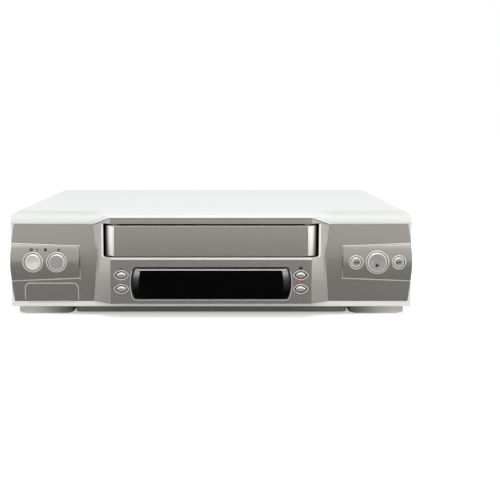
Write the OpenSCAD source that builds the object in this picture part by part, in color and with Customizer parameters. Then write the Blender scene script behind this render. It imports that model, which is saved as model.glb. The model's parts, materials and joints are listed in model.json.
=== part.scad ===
// Front-loading video cassette recorder.
// X runs along the front, Y runs from the front to the back and Z is up.
// The origin is on the table, at the centre of the recorder's bounding box.
// Depths inside the modules are counted from the plane of the key wings, which at_front() places.

/* [Case] */
// Width of the case
case_w = 380; // [360:1:420]
// Depth from the plane of the key wings to the back edge of the cover
case_d = 278; // [270:1:320]
// Height of the top of the cover above the table
case_top = 99; // [97:0.5:120]
// Height of the feet
foot_h = 9; // [8:0.5:10]
// Sheet thickness of the cover
cover_t = 1; // [0.8:0.1:1.5]
// Radius of the two long top corners
corner_r = 5; // [3:0.5:7]
// Sheet thickness of the bottom plate and the rear panel
sheet_t = 1; // [0.8:0.1:1.2]
// Depth of the front frame between the wing plane and the cover
frame_d = 15; // [14:0.5:20]
// Wall of the moulded front pieces
front_t = 2.5; // [2:0.1:3]
// Height of the pale lip under the fascia
lip_h = 5; // [4.5:0.1:6]
// Radius of the front frame's top edge
brow_r = 11; // [9:0.5:11.5]

/* [Fascia] */
// How far the centre block stands out of the wing plane
block_out = 15; // [13:0.5:16]
// Width of the flat face of the centre block
block_face_w = 188; // [186:1:192]
// Width of each slanting side of the centre block, seen from the front
facet_w = 18; // [17:0.5:20]
// Height of the wings above the table
wing_top = 87.4; // [86:0.1:88]
// Height of the top of the centre block above the table
block_top = 95; // [94:0.1:95.5]
// How far the wings bulge forward at mid height
wing_bulge = 2; // [1:0.1:2.5]
// How far the wings' outer ends bulge sideways
wing_end_bulge = 3; // [1:0.1:4]
// Thickness of the wing plate behind its edges
wing_t = 2.5; // [2:0.1:3]

/* [Cassette door] */
// How far each end of the door runs on over the slanting side of the block
door_wrap = 5.8; // [5.5:0.1:6]
// Height of the door
door_h = 29.3; // [28.5:0.1:29.5]
// Height of the lower edge of the door above the table
door_z = 58.6; // [58.4:0.1:59]
// Thickness of the door
door_t = 2.4; // [2:0.1:2.6]
// Gap under the door
door_gap = 0.7; // [0.5:0.1:0.9]
// Gap between each end of the door and the side of its opening
door_side_gap = 1.4; // [1:0.1:1.6]
// Radius of the door's hinge pins
door_pin_r = 0.9; // [0.7:0.05:1]

/* [Display window] */
// Width of the flat at each end of the window, where the small keys are
key_field_w = 19.5; // [19:0.5:22]
// Height of the window
window_h = 29.3; // [24:0.1:30]
// Height of the middle of the window above the table
window_z = 33.8; // [33:0.1:34]
// Radius of the window's curved ends
window_end_r = 40; // [25:1:60]
// Radius of the window's corners
window_corner_r = 2.5; // [2:0.5:5]
// How far the window stands out of the block
window_out = 0.9; // [0.5:0.1:1.5]

/* [Keys] */
// Height of the middle of the wing keys above the table
key_z = 52; // [50:0.1:53]
// Radius of the power and eject keys
power_r = 7.9; // [7:0.1:8.2]
// Radius of the play key
play_r = 9.4; // [8.5:0.1:9.6]
// Radius of the wind keys
wind_r = 5; // [4.5:0.1:5.5]
// Gap round the wing keys
key_gap = 0.8; // [0.4:0.1:1]
// Travel of every key
key_travel = 0.6; // [0.3:0.1:0.6]
// Length of the small almond keys
almond_l = 10; // [9:0.1:11]
// Height of the small almond keys
almond_h = 6.2; // [5.5:0.1:6.6]
// Radius of the stems behind the keys
stem_r = 2; // [1.5:0.1:2.2]
// How far the key panels bulge forward of the wings
panel_bulge = 3.9; // [3.6:0.1:4.4]
// How far the wing keys stand out of their panel
key_proud = 0.6; // [0.4:0.1:0.8]
// How much further the play key stands out
play_proud = 0.3; // [0:0.1:0.4]
// Radius of the key panels' curve
panel_r = 44; // [40:1:60]

/* [Socket flap] */
// Width of the flap over the front sockets
flap_w = 49; // [47:0.5:50]
// Height of the flap
flap_h = 15.9; // [15:0.1:16.5]
// Thickness of the flap behind the wing plane
flap_t = 1; // [0.8:0.1:1.2]
// Radius of the flap's upper corners
flap_r = 4; // [3:0.5:5]
// Gap round the flap
flap_gap = 0.4; // [0.3:0.1:0.5]

/* [Feet] */
// Width of a front foot
front_foot_w = 53; // [44:1:53]
// Depth of a front foot from front to back
front_foot_d = 44; // [30:1:50]
// Radius of the corners of a front foot
foot_corner_r = 7; // [6.5:0.5:10]
// Radius of the rear feet
rear_foot_r = 15; // [10:0.5:18]
// Thickness of the rubber under the feet
pad_h = 1; // [0.8:0.1:2]
// How far the rubber stays inside the outline of a front foot
pad_inset = 4; // [2:0.5:6]
// Room between the dropped pan in the bottom plate and each front foot
pan_foot_gap = 2.5; // [1.5:0.5:6]
// Depth of the dropped pan
pan_drop = 6.5; // [6.2:0.1:7]
// Radius of the pan's front corners
pan_corner_r = 6; // [3:0.5:8]

/* [Cassette] */
// Width of a cassette
cassette_w = 187; // [186.5:0.1:188]
// Thickness of a cassette
cassette_h = 25; // [24.5:0.1:25.5]
// Room round a cassette in the tray
cassette_gap = 2; // [1.5:0.1:2.2]
// Sheet thickness of the tray and its brackets
tray_t = 1; // [0.8:0.1:1.2]
// Depth of the tray
tray_d = 85; // [80:1:88]
// How far the tray goes in
tray_in = 50; // [40:1:50]
// How far the tray goes down
tray_down = 27.5; // [20:0.5:27.5]

/* [Deck] */
// Height of the deck's top face above the table
deck_z = 24; // [23.5:0.1:24]
// Thickness of the deck plate
deck_t = 1.6; // [1.2:0.1:2]
// Radius of the head drum
drum_r = 31; // [30:0.1:31]
// Tilt of the head drum in degrees
drum_tilt = 6; // [4:0.5:6]
// Radius of the capstan shaft
capstan_r = 1.5; // [1.2:0.1:2]
// Radius of the flywheel
flywheel_r = 24; // [20:0.5:25]
// Radius of the reel tables
reel_r = 22; // [18:0.5:22]
// Radial clearance of the running shafts
run_fit = 0.05; // [0.02:0.01:0.08]
// Pitch radius per tooth of the loading gears, doubled
gear_module = 1; // [1:0.5:1]
// Teeth of the cam gear
cam_teeth = 44; // [44:1:44]
// Teeth of the loading pinion
pinion_teeth = 10; // [10:1:10]

/* [Rear] */
// How far the aerial sockets stand out behind the cover
aerial_out = 8; // [6:0.5:12]
// Radius of the aerial sockets
aerial_r = 4.8; // [4.5:0.1:5]
// Width of a 21-pin socket
scart_w = 47; // [46:0.5:48]

/* [Hidden] */
$fn = 64;
// How far the wings' upper and lower edges stand out of the wing plane
edge_proud = 0.25;
// Steps round the widest curves
wide_fn = 480;
// Steps round the corners of the feet, the pan and the window
corner_steps = 8;

// Clearance between fixed pieces that don't touch
gap = 0.3;
// Overlap that makes a cut pass its face
eps = 0.5;
half_w = case_w / 2;
base_z = foot_h;
// Depth of the wing plane behind the origin, so that the bounding box is centred
wing_y = -(case_d + aerial_out - block_out - window_out) / 2;
fascia_z = base_z + lip_h + gap;
wing_h = wing_top - fascia_z;
wing_mid_z = fascia_z + wing_h / 2;
wing_curve_r = (pow(wing_h / 2, 2) + pow(wing_bulge, 2)) / (2 * wing_bulge);
wing_end_r = (pow(wing_h / 2, 2) + pow(wing_end_bulge, 2)) / (2 * wing_end_bulge);
wing_end_x = half_w - gap;
face_half = block_face_w / 2;
block_half = face_half + facet_w;
door_w = 2 * (face_half + door_wrap);
window_w = block_face_w - 2 * key_field_w;
// Sideways run of the facet for each millimetre of depth
facet_slope = facet_w / block_out;
panel_in_x = half_w - 65.2;
panel_in_h = 29.4;
panel_out_h = 34.8;
panel_mid_z = key_z - 0.3;
panel_back_y = -0.5;
key_front_y = -wing_bulge - panel_bulge - key_proud;
power_x = -half_w + 21.6;
eject_x = -half_w + 44.1;
play_x = half_w - 33.2;
rewind_x = half_w - 53.1;
forward_x = half_w - 12.8;
almond_x = window_w / 2 + 9.4;
almond_high_z = 41.4;
almond_low_z = 28.3;
hinge_lug_r = 1.6;
door_hinge_y = -block_out + door_t + hinge_lug_r + gap;
door_hinge_z = door_z + door_h + 0.3;
door_open_top = door_hinge_z + 1.4;
door_open_z = door_z - door_gap;
// Backs of the door's ends, which pass under the top of the opening when the door is up
door_tip_y = door_hinge_y + door_open_top - door_hinge_z - gap;
slot_half = door_w / 2 + door_side_gap;
flap_x = -half_w + 14;
flap_z = fascia_z + 0.5;
flap_hinge_y = 0.3;
flap_hinge_z = flap_z + 0.9;
flap_sweep_r = norm([flap_t - flap_hinge_y, flap_hinge_z - flap_z]) + gap;
board_y = 11;
board_t = 1.6;
switch_tip_y = board_y - 2.6;
switch_body_t = 2;
front_board_half = half_w - 7;
foot_x = half_w - 31;
pan_half_w = foot_x - front_foot_w / 2 - pan_foot_gap;
front_foot_y = front_foot_d / 2 + 7.5;
rear_foot_y = case_d - 35;
pan_y = 5.5;
pan_end_y = 200;
pan_z = base_z - pan_drop;
floor_z = base_z + sheet_t;
rear_y = case_d - sheet_t;
side_in = half_w - cover_t;
wall_x = side_in - 2.5;
wall_t = 2;
tray_half = cassette_w / 2 + cassette_gap;
bracket_x = tray_half + tray_t + 4.5;
deck_half = bracket_x + tray_t + 3;
bay_x = deck_half + 3;
bay_floor_t = 2;
board_in_x = bay_x + 2;
board_out_x = wall_x - wall_t - 1;
board_back_y = rear_y - 22;
wall_top_z = case_top - 12;
lip_screw_x = half_w - 20;
pcb_z = floor_z + gap + 8;
pcb_t = 1.6;
mains_x = -half_w + 40;
inlet_half = 11;
tuner_x = -70;
audio_x = 82;
scart_x = half_w - 42;
scart_front_y = rear_y - 21;
socket_low_z = 30;
socket_high_z = 52;
drum_x = 0;
drum_y = 205;
drum_z = 36;
drum_h = 14;
capstan_x = 50;
capstan_y = 160;
flywheel_z = 10.5;
pulley_z = 6;
pulley_h = 3;
capstan_pulley_r = 9;
clutch_y = 100;
clutch_pulley_r = 14;
clutch_wheel_r = 9.7;
idler_r = 10;
idler_reach = clutch_wheel_r + idler_r + gap;
reel_x = 46;
reel_y = 112;
wheel_z = deck_z + 0.8;
pinch_x = 74;
pinch_y = 166;
pinch_reach = 16;
pinch_rest = 100;
pinch_roller_r = 7;
cam_x = -75;
cam_y = 205;
cam_z = 13.5;
cam_t = 4;
cam_pitch_r = gear_module * cam_teeth / 2;
pinion_pitch_r = gear_module * pinion_teeth / 2;
motor_y = cam_y + cam_pitch_r + pinion_pitch_r + 0.15;
guide_start = [[-28, 150], [28, 150]];
guide_end = [[-44, 194], [44, 194]];
deck_front_y = 60;
deck_back_y = rear_y - 27;
post_x = bracket_x - 3;
post_front_y = 68;
post_back_y = 242;
tray_front_y = 24;
tray_floor_z = door_open_z - 0.2;
tray_inner_h = cassette_h + 1.8;
bracket_end_y = 165;

SILVER = [0.58, 0.57, 0.54];
PALE = [0.95, 0.955, 0.95];
STEEL = [0.72, 0.73, 0.74];
BLACK = [0.04, 0.04, 0.045];
GREY = [0.3, 0.3, 0.31];
GREEN = [0.15, 0.35, 0.2];

// Places its children by depth from the wing plane
module at_front() {
    translate([0, wing_y, 0]) children();
}

// A block from its lowest corner and its highest corner
module span(low, high) {
    translate(low) cube([high[0] - low[0], high[1] - low[1], high[2] - low[2]]);
}

// A round bar along Y from one depth to another
module bar_y(x, z, y0, y1, r) {
    translate([x, y0, z]) rotate([-90, 0, 0]) cylinder(r = r, h = y1 - y0);
}

// A round bar along X
module bar_x(y, z, x0, x1, r) {
    translate([x0, y, z]) rotate([0, 90, 0]) cylinder(r = r, h = x1 - x0);
}

// A round bar along Z
module bar_z(x, y, z0, z1, r) {
    translate([x, y, z0]) cylinder(r = r, h = z1 - z0);
}

// Both hands of a piece
module both() {
    children();
    mirror([1, 0, 0]) children();
}

// A box whose two long top corners are round
module round_top_box(half, y0, y1, z0, z1, r) {
    union() {
        span([-half, y0, z0], [half, y1, z1 - r]);
        span([-half + r, y0, z0], [half - r, y1, z1]);
        both() bar_y(half - r, z1 - r, y0, y1, r);
    }
}

// Points of an arc from one angle to another
function arc(c, r, a0, a1, n) = [for (i = [0:n]) c + r * [cos(a0 + (a1 - a0) * i / n), sin(a0 + (a1 - a0) * i / n)]];

// Outline points mirrored to the other side, so that a half outline becomes a whole one
function mirrored(half) = concat(half, [for (i = [len(half) - 1:-1:0]) [-half[i][0], half[i][1]]]);

// A plan outline, as [x, y] points, raised from one height to another
module plan(points, z0, z1) {
    translate([0, 0, z0]) linear_extrude(z1 - z0) polygon(points);
}

// A front view outline, as [x, z] points, carried from one depth to another
module front_view(points, y0, y1) {
    translate([0, y1, 0]) rotate([90, 0, 0]) linear_extrude(y1 - y0) polygon(points);
}

// A side view outline, as [y, z] points, carried across from one x to another
module side_view(points, x0, x1) {
    translate([x0, 0, 0]) rotate([90, 0, 90]) linear_extrude(x1 - x0) polygon(points);
}

// Sheet steel cover: top, two sides and a lip folded down over the rear panel
module top_cover() {
    color(PALE) at_front() difference() {
        union() {
            difference() {
                round_top_box(half_w, frame_d + gap, case_d, base_z, case_top, corner_r);
                round_top_box(side_in, frame_d - eps, case_d + eps, base_z - eps, case_top - cover_t,
                    corner_r - cover_t);
            }
            span([-side_in + corner_r, rear_y, case_top - 11], [side_in - corner_r, case_d, case_top - cover_t / 2]);
        }
        for (x = [-lip_screw_x, 0, lip_screw_x]) bar_y(x, case_top - 6, rear_y - eps, case_d + eps, 1.7);
    }
}

// Block of the dropped pan with round front corners, inset all round
module pan_block(inset, y0, z0, z1) {
    hx = pan_half_w - inset;
    front_y = y0 + inset;
    r = pan_corner_r - inset;
    translate([0, 0, z0]) linear_extrude(z1 - z0) polygon(mirrored(concat(
        arc([hx - r, front_y + r], r, -90, 0, corner_steps),
        [[hx, pan_end_y - inset]]
    )));
}

// Sheet steel bottom with a dropped pan under the tape deck
module bottom_plate() {
    slots = 9;
    color(STEEL) at_front() difference() {
        union() {
            span([-side_in + gap, frame_d + gap, base_z], [side_in - gap, rear_y, floor_z]);
            pan_block(0, pan_y, pan_z, base_z - 0.1);
            span([-pan_half_w, frame_d + gap, pan_z], [pan_half_w, pan_end_y, floor_z]);
        }
        pan_block(sheet_t, pan_y, pan_z + sheet_t, floor_z + eps);
        for (i = [0:slots - 1]) both() {
            span([pan_half_w + 5, 105 + i * 12, base_z - eps], [side_in - 11, 109 + i * 12, floor_z + eps]);
        }
    }
}

// Moulded frame: two side bays with bosses for the boards, joined by a front and a rear bar
module main_frame() {
    z0 = floor_z;
    z1 = floor_z + gap + bay_floor_t;
    y0 = frame_d + gap;
    color(GREY) at_front() union() {
        both() {
            difference() {
                span([bay_x, y0, z0], [wall_x, rear_y, z1]);
                span([bay_x + 14, 100, z0 - eps], [wall_x - 14, rear_y - 60, z1 + eps]);
            }
            span([wall_x - wall_t, y0, z0], [wall_x, rear_y, wall_top_z]);
            for (x = [bay_x + 10, wall_x - 10.5], y = [74, 160, board_back_y + 1]) bar_z(x, y, z1 - eps, pcb_z, 3);
        }
        span([-wall_x, y0, z0], [wall_x, y0 + wall_t, z0 + 9]);
        span([-wall_x, rear_y - wall_t, z0], [wall_x, rear_y, z0 + 5]);
    }
}

// Rear panel with an opening for each socket and a row of vents
module rear_panel() {
    vents = 12;
    color(STEEL) at_front() difference() {
        span([-wall_x, rear_y, floor_z], [wall_x, rear_y + sheet_t - 0.02, wall_top_z]);
        span([mains_x - inlet_half - gap, rear_y - eps, pcb_z + pcb_t - gap],
            [mains_x + inlet_half + gap, case_d + eps, socket_low_z + 8 + gap]);
        for (z = [socket_low_z, socket_high_z]) {
            bar_y(tuner_x, z, rear_y - eps, case_d + eps, aerial_r + 1);
            bar_y(audio_x, z, rear_y - eps, case_d + eps, 6);
            span([scart_x - scart_w / 2 - gap, rear_y - eps, z - 7 - gap], [scart_x + scart_w / 2 + gap, case_d + eps, z + 7 + gap]);
        }
        for (i = [0:vents - 1]) {
            span([-40 + i * 8, rear_y - eps, 50], [-36 + i * 8, case_d + eps, 76]);
        }
    }
}

// Side view of the front frame between the fascia and the cover
function frame_profile(inset) = concat(
    [[frame_d, base_z + inset], [inset * 1.1, base_z + inset], [inset * 1.1, case_top - brow_r]],
    arc([brow_r - 1, case_top - brow_r], brow_r - inset, 175, 90, 12),
    [[frame_d, case_top - inset]]
);

// Wing solid between two depths: round outer ends, no block
module wing_slab(grow, y0, y1) {
    end_cx = wing_end_x - wing_end_r;
    intersection() {
        span([-half_w, y0, fascia_z - grow], [half_w, y1, wing_top + grow]);
        bar_y(end_cx, wing_mid_z, y0 - eps, y1 + eps, wing_end_r + grow, $fn = wide_fn);
        bar_y(-end_cx, wing_mid_z, y0 - eps, y1 + eps, wing_end_r + grow, $fn = wide_fn);
    }
}

// Cylinder that gives the wings their bulge, a little proud of the wing plane at its edges
module wing_curve() {
    bar_x(wing_curve_r - wing_bulge - edge_proud, wing_mid_z, -half_w - 1, half_w + 1, wing_curve_r, $fn = wide_fn);
}

// Pale frame round the fascia: brow, side returns and the straight lip below
module front_frame() {
    lip_notch_w = 44;
    brow_big_r = 16.2;
    crown = mirrored([
        [block_half + 4, -gap],
        [face_half + 0.6, -block_out - gap]
    ]);
    crown_side = concat(
        [[frame_d, 80], [-block_out - gap, 80], [-block_out - gap, block_top + gap]],
        arc([-block_out + brow_big_r * 0.62, case_top - brow_big_r], brow_big_r, 128, 90, 8),
        [[frame_d, case_top]]
    );
    crown_front = mirrored([
        [block_half + 9, wing_top],
        [face_half + 2, case_top]
    ]);
    color(PALE) at_front() difference() {
        union() {
            intersection() {
                side_view(frame_profile(0), -half_w, half_w);
                round_top_box(half_w, -5, frame_d + 1, base_z - 1, case_top, corner_r);
            }
            intersection() {
                plan(concat(crown, [[-block_half - 4, frame_d], [block_half + 4, frame_d]]), 80, case_top);
                side_view(crown_side, -half_w, half_w);
                front_view(concat(crown_front, [[-block_half - 9, 60], [block_half + 9, 60]]), -block_out - 1, frame_d);
            }
        }
        intersection() {
            side_view(frame_profile(front_t), -half_w + front_t, half_w - front_t);
            round_top_box(half_w - front_t, 0, frame_d + eps, base_z, case_top - front_t, corner_r - front_t);
        }
        span([-half_w + front_t, frame_d - 0.1, base_z + front_t],
            [half_w - front_t, frame_d + eps, case_top - corner_r]);
        wing_slab(gap, -block_out, wing_t + gap);
        front_view([
            [-block_half - gap, fascia_z - gap], [block_half + gap, fascia_z - gap],
            [block_half + gap, wing_top + gap], [face_half + gap * 0.5, block_top + gap],
            [-face_half - gap * 0.5, block_top + gap], [-block_half - gap, wing_top + gap]
        ], -block_out - 1, wing_t + gap);
        span([flap_x + 2.5, -1, fascia_z - gap - 1.6], [flap_x + 2.5 + lip_notch_w, 1.2, fascia_z]);
    }
}

// Solid of the centre block, inset all round
module block_solid(inset) {
    side = inset * 1.3;
    top = inset * 1.15;
    intersection() {
        plan(mirrored([
            [block_half - side, wing_t],
            [block_half - side, 0],
            [face_half - inset * 0.55, -block_out + inset]
        ]), fascia_z + inset, block_top - inset);
        front_view([
            [-block_half, fascia_z], [block_half, fascia_z], [block_half, wing_top - 0.5 - top],
            [face_half, block_top - inset], [-face_half, block_top - inset], [-block_half, wing_top - 0.5 - top]
        ], -block_out - 1, wing_t);
    }
}

// Hole of a round wing key through the fascia
module key_hole(x, r) {
    bar_y(x, key_z, -10, wing_t + eps, r);
}

// An almond outline, carried along Y
module almond(x, z, length, height, y0, y1) {
    r = (pow(length / 2, 2) + pow(height / 2, 2)) / height;
    intersection() {
        bar_y(x, z + r - height / 2, y0, y1, r);
        bar_y(x, z - r + height / 2, y0, y1, r);
    }
}

// Right half of the window's barrel outline about its middle, grown all round
function half_barrel(grow) = let(
    end_r = window_end_r + grow,
    corner_r = window_corner_r + grow,
    corner_z = window_h / 2 + grow - corner_r,
    turn = asin(corner_z / (end_r - corner_r)),
    end_x = window_w / 2 - window_end_r,
    corner_x = end_x + (end_r - corner_r) * cos(turn)
) concat(
    arc([corner_x, -corner_z], corner_r, -90, -turn, corner_steps),
    arc([end_x, 0], end_r, -turn, turn, 2 * corner_steps),
    arc([corner_x, corner_z], corner_r, turn, 90, corner_steps)
);

// Barrel outline of the display window, carried along Y
module window_slab(grow, y0, y1) {
    front_view([for (p = mirrored(half_barrel(grow))) p + [0, window_z]], y0, y1);
}

// Outline of the socket flap with round upper corners, carried along Y
module flap_slab(grow, y0, y1) {
    x0 = flap_x - grow;
    x1 = flap_x + flap_w + grow;
    z1 = flap_z + flap_h + grow;
    r = flap_r + grow;
    union() {
        span([x0, y0, flap_z - grow], [x1, y1, z1 - r]);
        span([x0 + r, y0, flap_z - grow], [x1 - r, y1, z1]);
        bar_y(x0 + r, z1 - r, y0, y1, r);
        bar_y(x1 - r, z1 - r, y0, y1, r);
    }
}

// Trapezium of a key panel on the right-hand wing, carried along Y
module panel_slab(grow, y0, y1) {
    front_view([
        [panel_in_x - grow, panel_mid_z - panel_in_h / 2 - grow],
        [half_w, panel_mid_z - panel_out_h / 2 - grow],
        [half_w, panel_mid_z + panel_out_h / 2 + grow],
        [panel_in_x - grow, panel_mid_z + panel_in_h / 2 + grow]
    ], y0, y1);
}

// Silver fascia: two bulging wings and the centre block with the cassette and display openings
module front_fascia() {
    hinge_lug_x = face_half - 1.5;
    hinge_lug_t = 2;
    lug_front_y = door_hinge_y - hinge_lug_r - 0.1;
    rim_grow = 0.8;
    rim_reach = slot_half + 2.3;
    color(SILVER) at_front() difference() {
        union() {
            difference() {
                union() {
                    difference() {
                        intersection() {
                            wing_slab(0, -wing_bulge - 1, wing_t);
                            wing_curve();
                        }
                        span([-block_half + 5, -block_out, fascia_z - 1], [block_half - 5, wing_t + 1, wing_top + 1]);
                    }
                    block_solid(0);
                }
                block_solid(front_t);
                span([-block_half + 5.5, wing_t - 3, fascia_z + front_t],
                    [block_half - 5.5, wing_t + 1, wing_top - front_t - 2]);
            }
            both() {
                span([hinge_lug_x - hinge_lug_t, door_hinge_y - hinge_lug_r, door_hinge_z],
                    [hinge_lug_x, door_hinge_y + hinge_lug_r, block_top - front_t + 0.2]);
                bar_x(door_hinge_y, door_hinge_z, hinge_lug_x - hinge_lug_t, hinge_lug_x, hinge_lug_r);
            }
            plan(mirrored([
                [rim_reach, -block_out + (rim_reach - face_half) / facet_slope - rim_grow],
                [face_half + 0.5, -block_out - rim_grow]
            ]), door_open_z - 1.4, door_open_z);
            for (x = [-front_board_half + 4.8, front_board_half - 4.8], z = [20, 78]) {
                bar_y(x, z, wing_t - eps, board_y, 3);
            }
        }
        span([-slot_half, -block_out - 2, door_open_z], [slot_half, lug_front_y, door_open_top]);
        span([-slot_half, -block_out - 2, door_open_z], [slot_half, wing_t + 1, door_hinge_z - hinge_lug_r - 0.1]);
        span([-hinge_lug_x + hinge_lug_t + 0.1, -block_out - 2, door_open_z],
            [hinge_lug_x - hinge_lug_t - 0.1, wing_t + 1, door_open_top]);
        both() span([hinge_lug_x + 0.1, -block_out - 2, door_open_z], [slot_half, wing_t + 1, door_open_top]);
        bar_x(door_hinge_y, door_hinge_z, -hinge_lug_x - eps, hinge_lug_x + eps, door_pin_r + run_fit);
        window_slab(gap, -block_out - 1, wing_t);
        for (x = [-almond_x, almond_x], z = [almond_low_z, almond_high_z]) {
            almond(x, z, almond_l + 0.8, almond_h + 0.8, -block_out - 1, wing_t);
            almond(x, z, almond_l + 3, almond_h + 2.1, -block_out - 1, -block_out + 0.9);
        }
        both() panel_slab(gap, -8, panel_back_y);
        key_hole(power_x, power_r + key_gap);
        key_hole(eject_x, power_r + key_gap);
        key_hole(play_x, play_r + key_gap);
        key_hole(rewind_x, wind_r + key_gap);
        key_hole(forward_x, wind_r + key_gap);
        flap_slab(flap_gap, -4, flap_t + flap_gap);
        span([flap_x - flap_gap, -4, fascia_z - 1], [flap_x + flap_w + flap_gap, flap_t + flap_gap, flap_z]);
        span([flap_x + 3.5, -4, flap_z + 1.7], [flap_x + flap_w - 3.5, wing_t + eps, flap_z + flap_h - 1.7]);
        bar_x(flap_hinge_y, flap_hinge_z, flap_x - 2, flap_x + flap_w + 2, 0.6 + run_fit);
        bar_x(flap_hinge_y, flap_hinge_z, flap_x - flap_gap, flap_x + flap_w + flap_gap, flap_sweep_r);
    }
}

// Raised trapezoid panel round the right-hand wing keys
module panel_solid(mirror_x) {
    intersection() {
        mirror([mirror_x, 0, 0]) panel_slab(0, -wing_bulge - panel_bulge - 1, panel_back_y);
        bar_x(panel_r - wing_bulge - panel_bulge, panel_mid_z, -half_w, half_w, panel_r, $fn = wide_fn / 2);
        wing_slab(0, -8, wing_t);
    }
}

// Panel round the power and eject keys
module left_key_panel() {
    color(SILVER) at_front() difference() {
        panel_solid(1);
        key_hole(power_x, power_r + key_gap);
        key_hole(eject_x, power_r + key_gap);
    }
}

// Panel round the tape keys
module right_key_panel() {
    color(SILVER) at_front() difference() {
        panel_solid(0);
        key_hole(play_x, play_r + key_gap);
        key_hole(rewind_x, wind_r + key_gap);
        key_hole(forward_x, wind_r + key_gap);
    }
}

// Cassette door with ends that follow the block's facets and two ears with hinge pins
module cassette_door() {
    ear_in = face_half - 6;
    pin_end = face_half - 1.7;
    back = -block_out + door_t;
    end_x = door_w / 2;
    end_y = -block_out + (end_x - face_half) / facet_slope;
    color(SILVER) at_front() union() {
        intersection() {
            plan(mirrored([
                [end_x - 0.2, end_y + door_t], [end_x, end_y], [face_half, -block_out], [0, -block_out]
            ]), door_z, door_z + door_h);
            plan(concat(mirrored([[end_x + 1, end_y - 5], [0, -block_out - 5]]), [
                [-end_x - 1, end_y + door_t], [-face_half + 1.4, back], [face_half - 1.4, back],
                [end_x + 1, end_y + door_t]
            ]), door_z, door_z + door_h);
            span([-end_x - 1, -block_out - 1, door_z], [end_x + 1, door_tip_y, door_z + door_h]);
        }
        both() {
            span([ear_in, back - 0.1, door_hinge_z - 2.6], [ear_in + 1.8, door_hinge_y + 1, door_hinge_z]);
            bar_x(door_hinge_y, door_hinge_z, ear_in, ear_in + 1.8, 1.2);
            bar_x(door_hinge_y, door_hinge_z, ear_in, pin_end, door_pin_r);
        }
    }
}

// Smoked window: a plate in the opening with a raised middle
module display_window() {
    color(BLACK) at_front() union() {
        window_slab(0, -block_out - window_out * 0.3, -block_out + 2.6);
        window_slab(-1.6, -block_out - window_out, -block_out);
        both() span([60, -block_out + 2.5, window_z - 8], [64, board_y, window_z - 6]);
    }
}

// Glass display tube on its legs in front of the board
module display_tube() {
    color(GREY) at_front() union() {
        span([-52, -2, window_z - 9.5], [52, 5, window_z + 9]);
        for (i = [-6:6]) span([i * 8 - 0.5, 4.8, window_z + 2], [i * 8 + 0.5, board_y, window_z + 3]);
    }
}

// Flap over the front sockets, curved like the wing and hinged at its foot
module av_flap() {
    color(SILVER) at_front() union() {
        intersection() {
            flap_slab(0, -4, flap_t);
            wing_curve();
        }
        bar_x(flap_hinge_y, flap_hinge_z, flap_x - 1.6, flap_x + flap_w + 1.6, 0.6);
    }
}

// Three phono sockets behind the flap
module av_jacks() {
    color("gold") at_front() for (i = [-1:1]) {
        x = flap_x + flap_w / 2 + i * 13;
        z = flap_z + flap_h / 2;
        difference() {
            union() {
                span([x - 5, 4.2, z - 5], [x + 5, board_y, z + 5]);
                bar_y(x, z, 2, 5, 4.1);
            }
            bar_y(x, z, 1, 9, 2.7);
        }
        bar_y(x, z, 3, 10, 0.9);
    }
}

// Round key: a cap with a soft edge, a collar behind the fascia and a stem to its switch
module round_key(x, r, front_y, tint) {
    collar_y = wing_t + 0.5;
    color(tint) at_front() translate([x, 0, key_z]) rotate([-90, 0, 0]) rotate_extrude() polygon(concat(
        [[0, front_y], [r - 1.2, front_y + 0.25]],
        arc([r - 1, front_y + 1.3], 1, -80, 0, 6),
        [[r, collar_y], [r + 1.6, collar_y], [r + 1.6, collar_y + 1.2], [stem_r, collar_y + 1.2],
            [stem_r, switch_tip_y - 0.9], [0, switch_tip_y - 0.9]]
    ));
}

// Almond key: a raised lens, a larger collar behind the block's wall and a stem
module almond_key(x, z, tint) {
    wall_back = -block_out + front_t + 0.9;
    color(tint) at_front() union() {
        almond(x, z, almond_l - 2, almond_h - 1.6, -block_out - 0.4, -block_out + 1);
        almond(x, z, almond_l, almond_h, -block_out, wall_back + 0.5);
        almond(x, z, almond_l + 3.6, almond_h + 2.6, wall_back, wall_back + 1.2);
        bar_y(x, z, wall_back + 1, switch_tip_y - 0.9, stem_r - 0.4);
    }
}

module power_key() { round_key(power_x, power_r, key_front_y, SILVER); }
module eject_key() { round_key(eject_x, power_r, key_front_y, SILVER); }
module rewind_key() { round_key(rewind_x, wind_r, key_front_y, SILVER); }
module play_key() { round_key(play_x, play_r, key_front_y - play_proud, SILVER); }
module fast_forward_key() { round_key(forward_x, wind_r, key_front_y, SILVER); }
module channel_up_key() { almond_key(-almond_x, almond_high_z, SILVER); }
module channel_down_key() { almond_key(-almond_x, almond_low_z, SILVER); }
module speed_key() { almond_key(almond_x, almond_high_z, SILVER); }
module record_key() { almond_key(almond_x, almond_low_z, SILVER); }

// Upright circuit board behind the fascia, cut down under the cassette slot
module front_board() {
    slot_z = door_open_z - 3;
    color(GREEN) at_front() difference() {
        front_view([
            [-front_board_half, 15.5], [front_board_half, 15.5], [front_board_half, 82], [block_half, 82],
            [block_half, slot_z], [-block_half, slot_z], [-block_half, 82], [-front_board_half, 82]
        ], board_y, board_y + board_t);
        both() bar_y(front_board_half - 21, 74, board_y - eps, board_y + board_t + eps, 1.6);
    }
}

// Push switches on the board, one behind each key
module tact_switches() {
    wing_keys = [power_x, eject_x, rewind_x, play_x, forward_x];
    color(BLACK) at_front() union() {
        for (x = wing_keys) {
            span([x - 3, board_y - switch_body_t, key_z - 3], [x + 3, board_y, key_z + 3]);
            bar_y(x, key_z, switch_tip_y, board_y - 1, 1.5);
        }
        for (x = [-almond_x, almond_x], z = [almond_low_z, almond_high_z]) {
            span([x - 3, board_y - switch_body_t, z - 3], [x + 3, board_y, z + 3]);
            bar_y(x, z, switch_tip_y, board_y - 1, 1.5);
        }
    }
}

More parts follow.
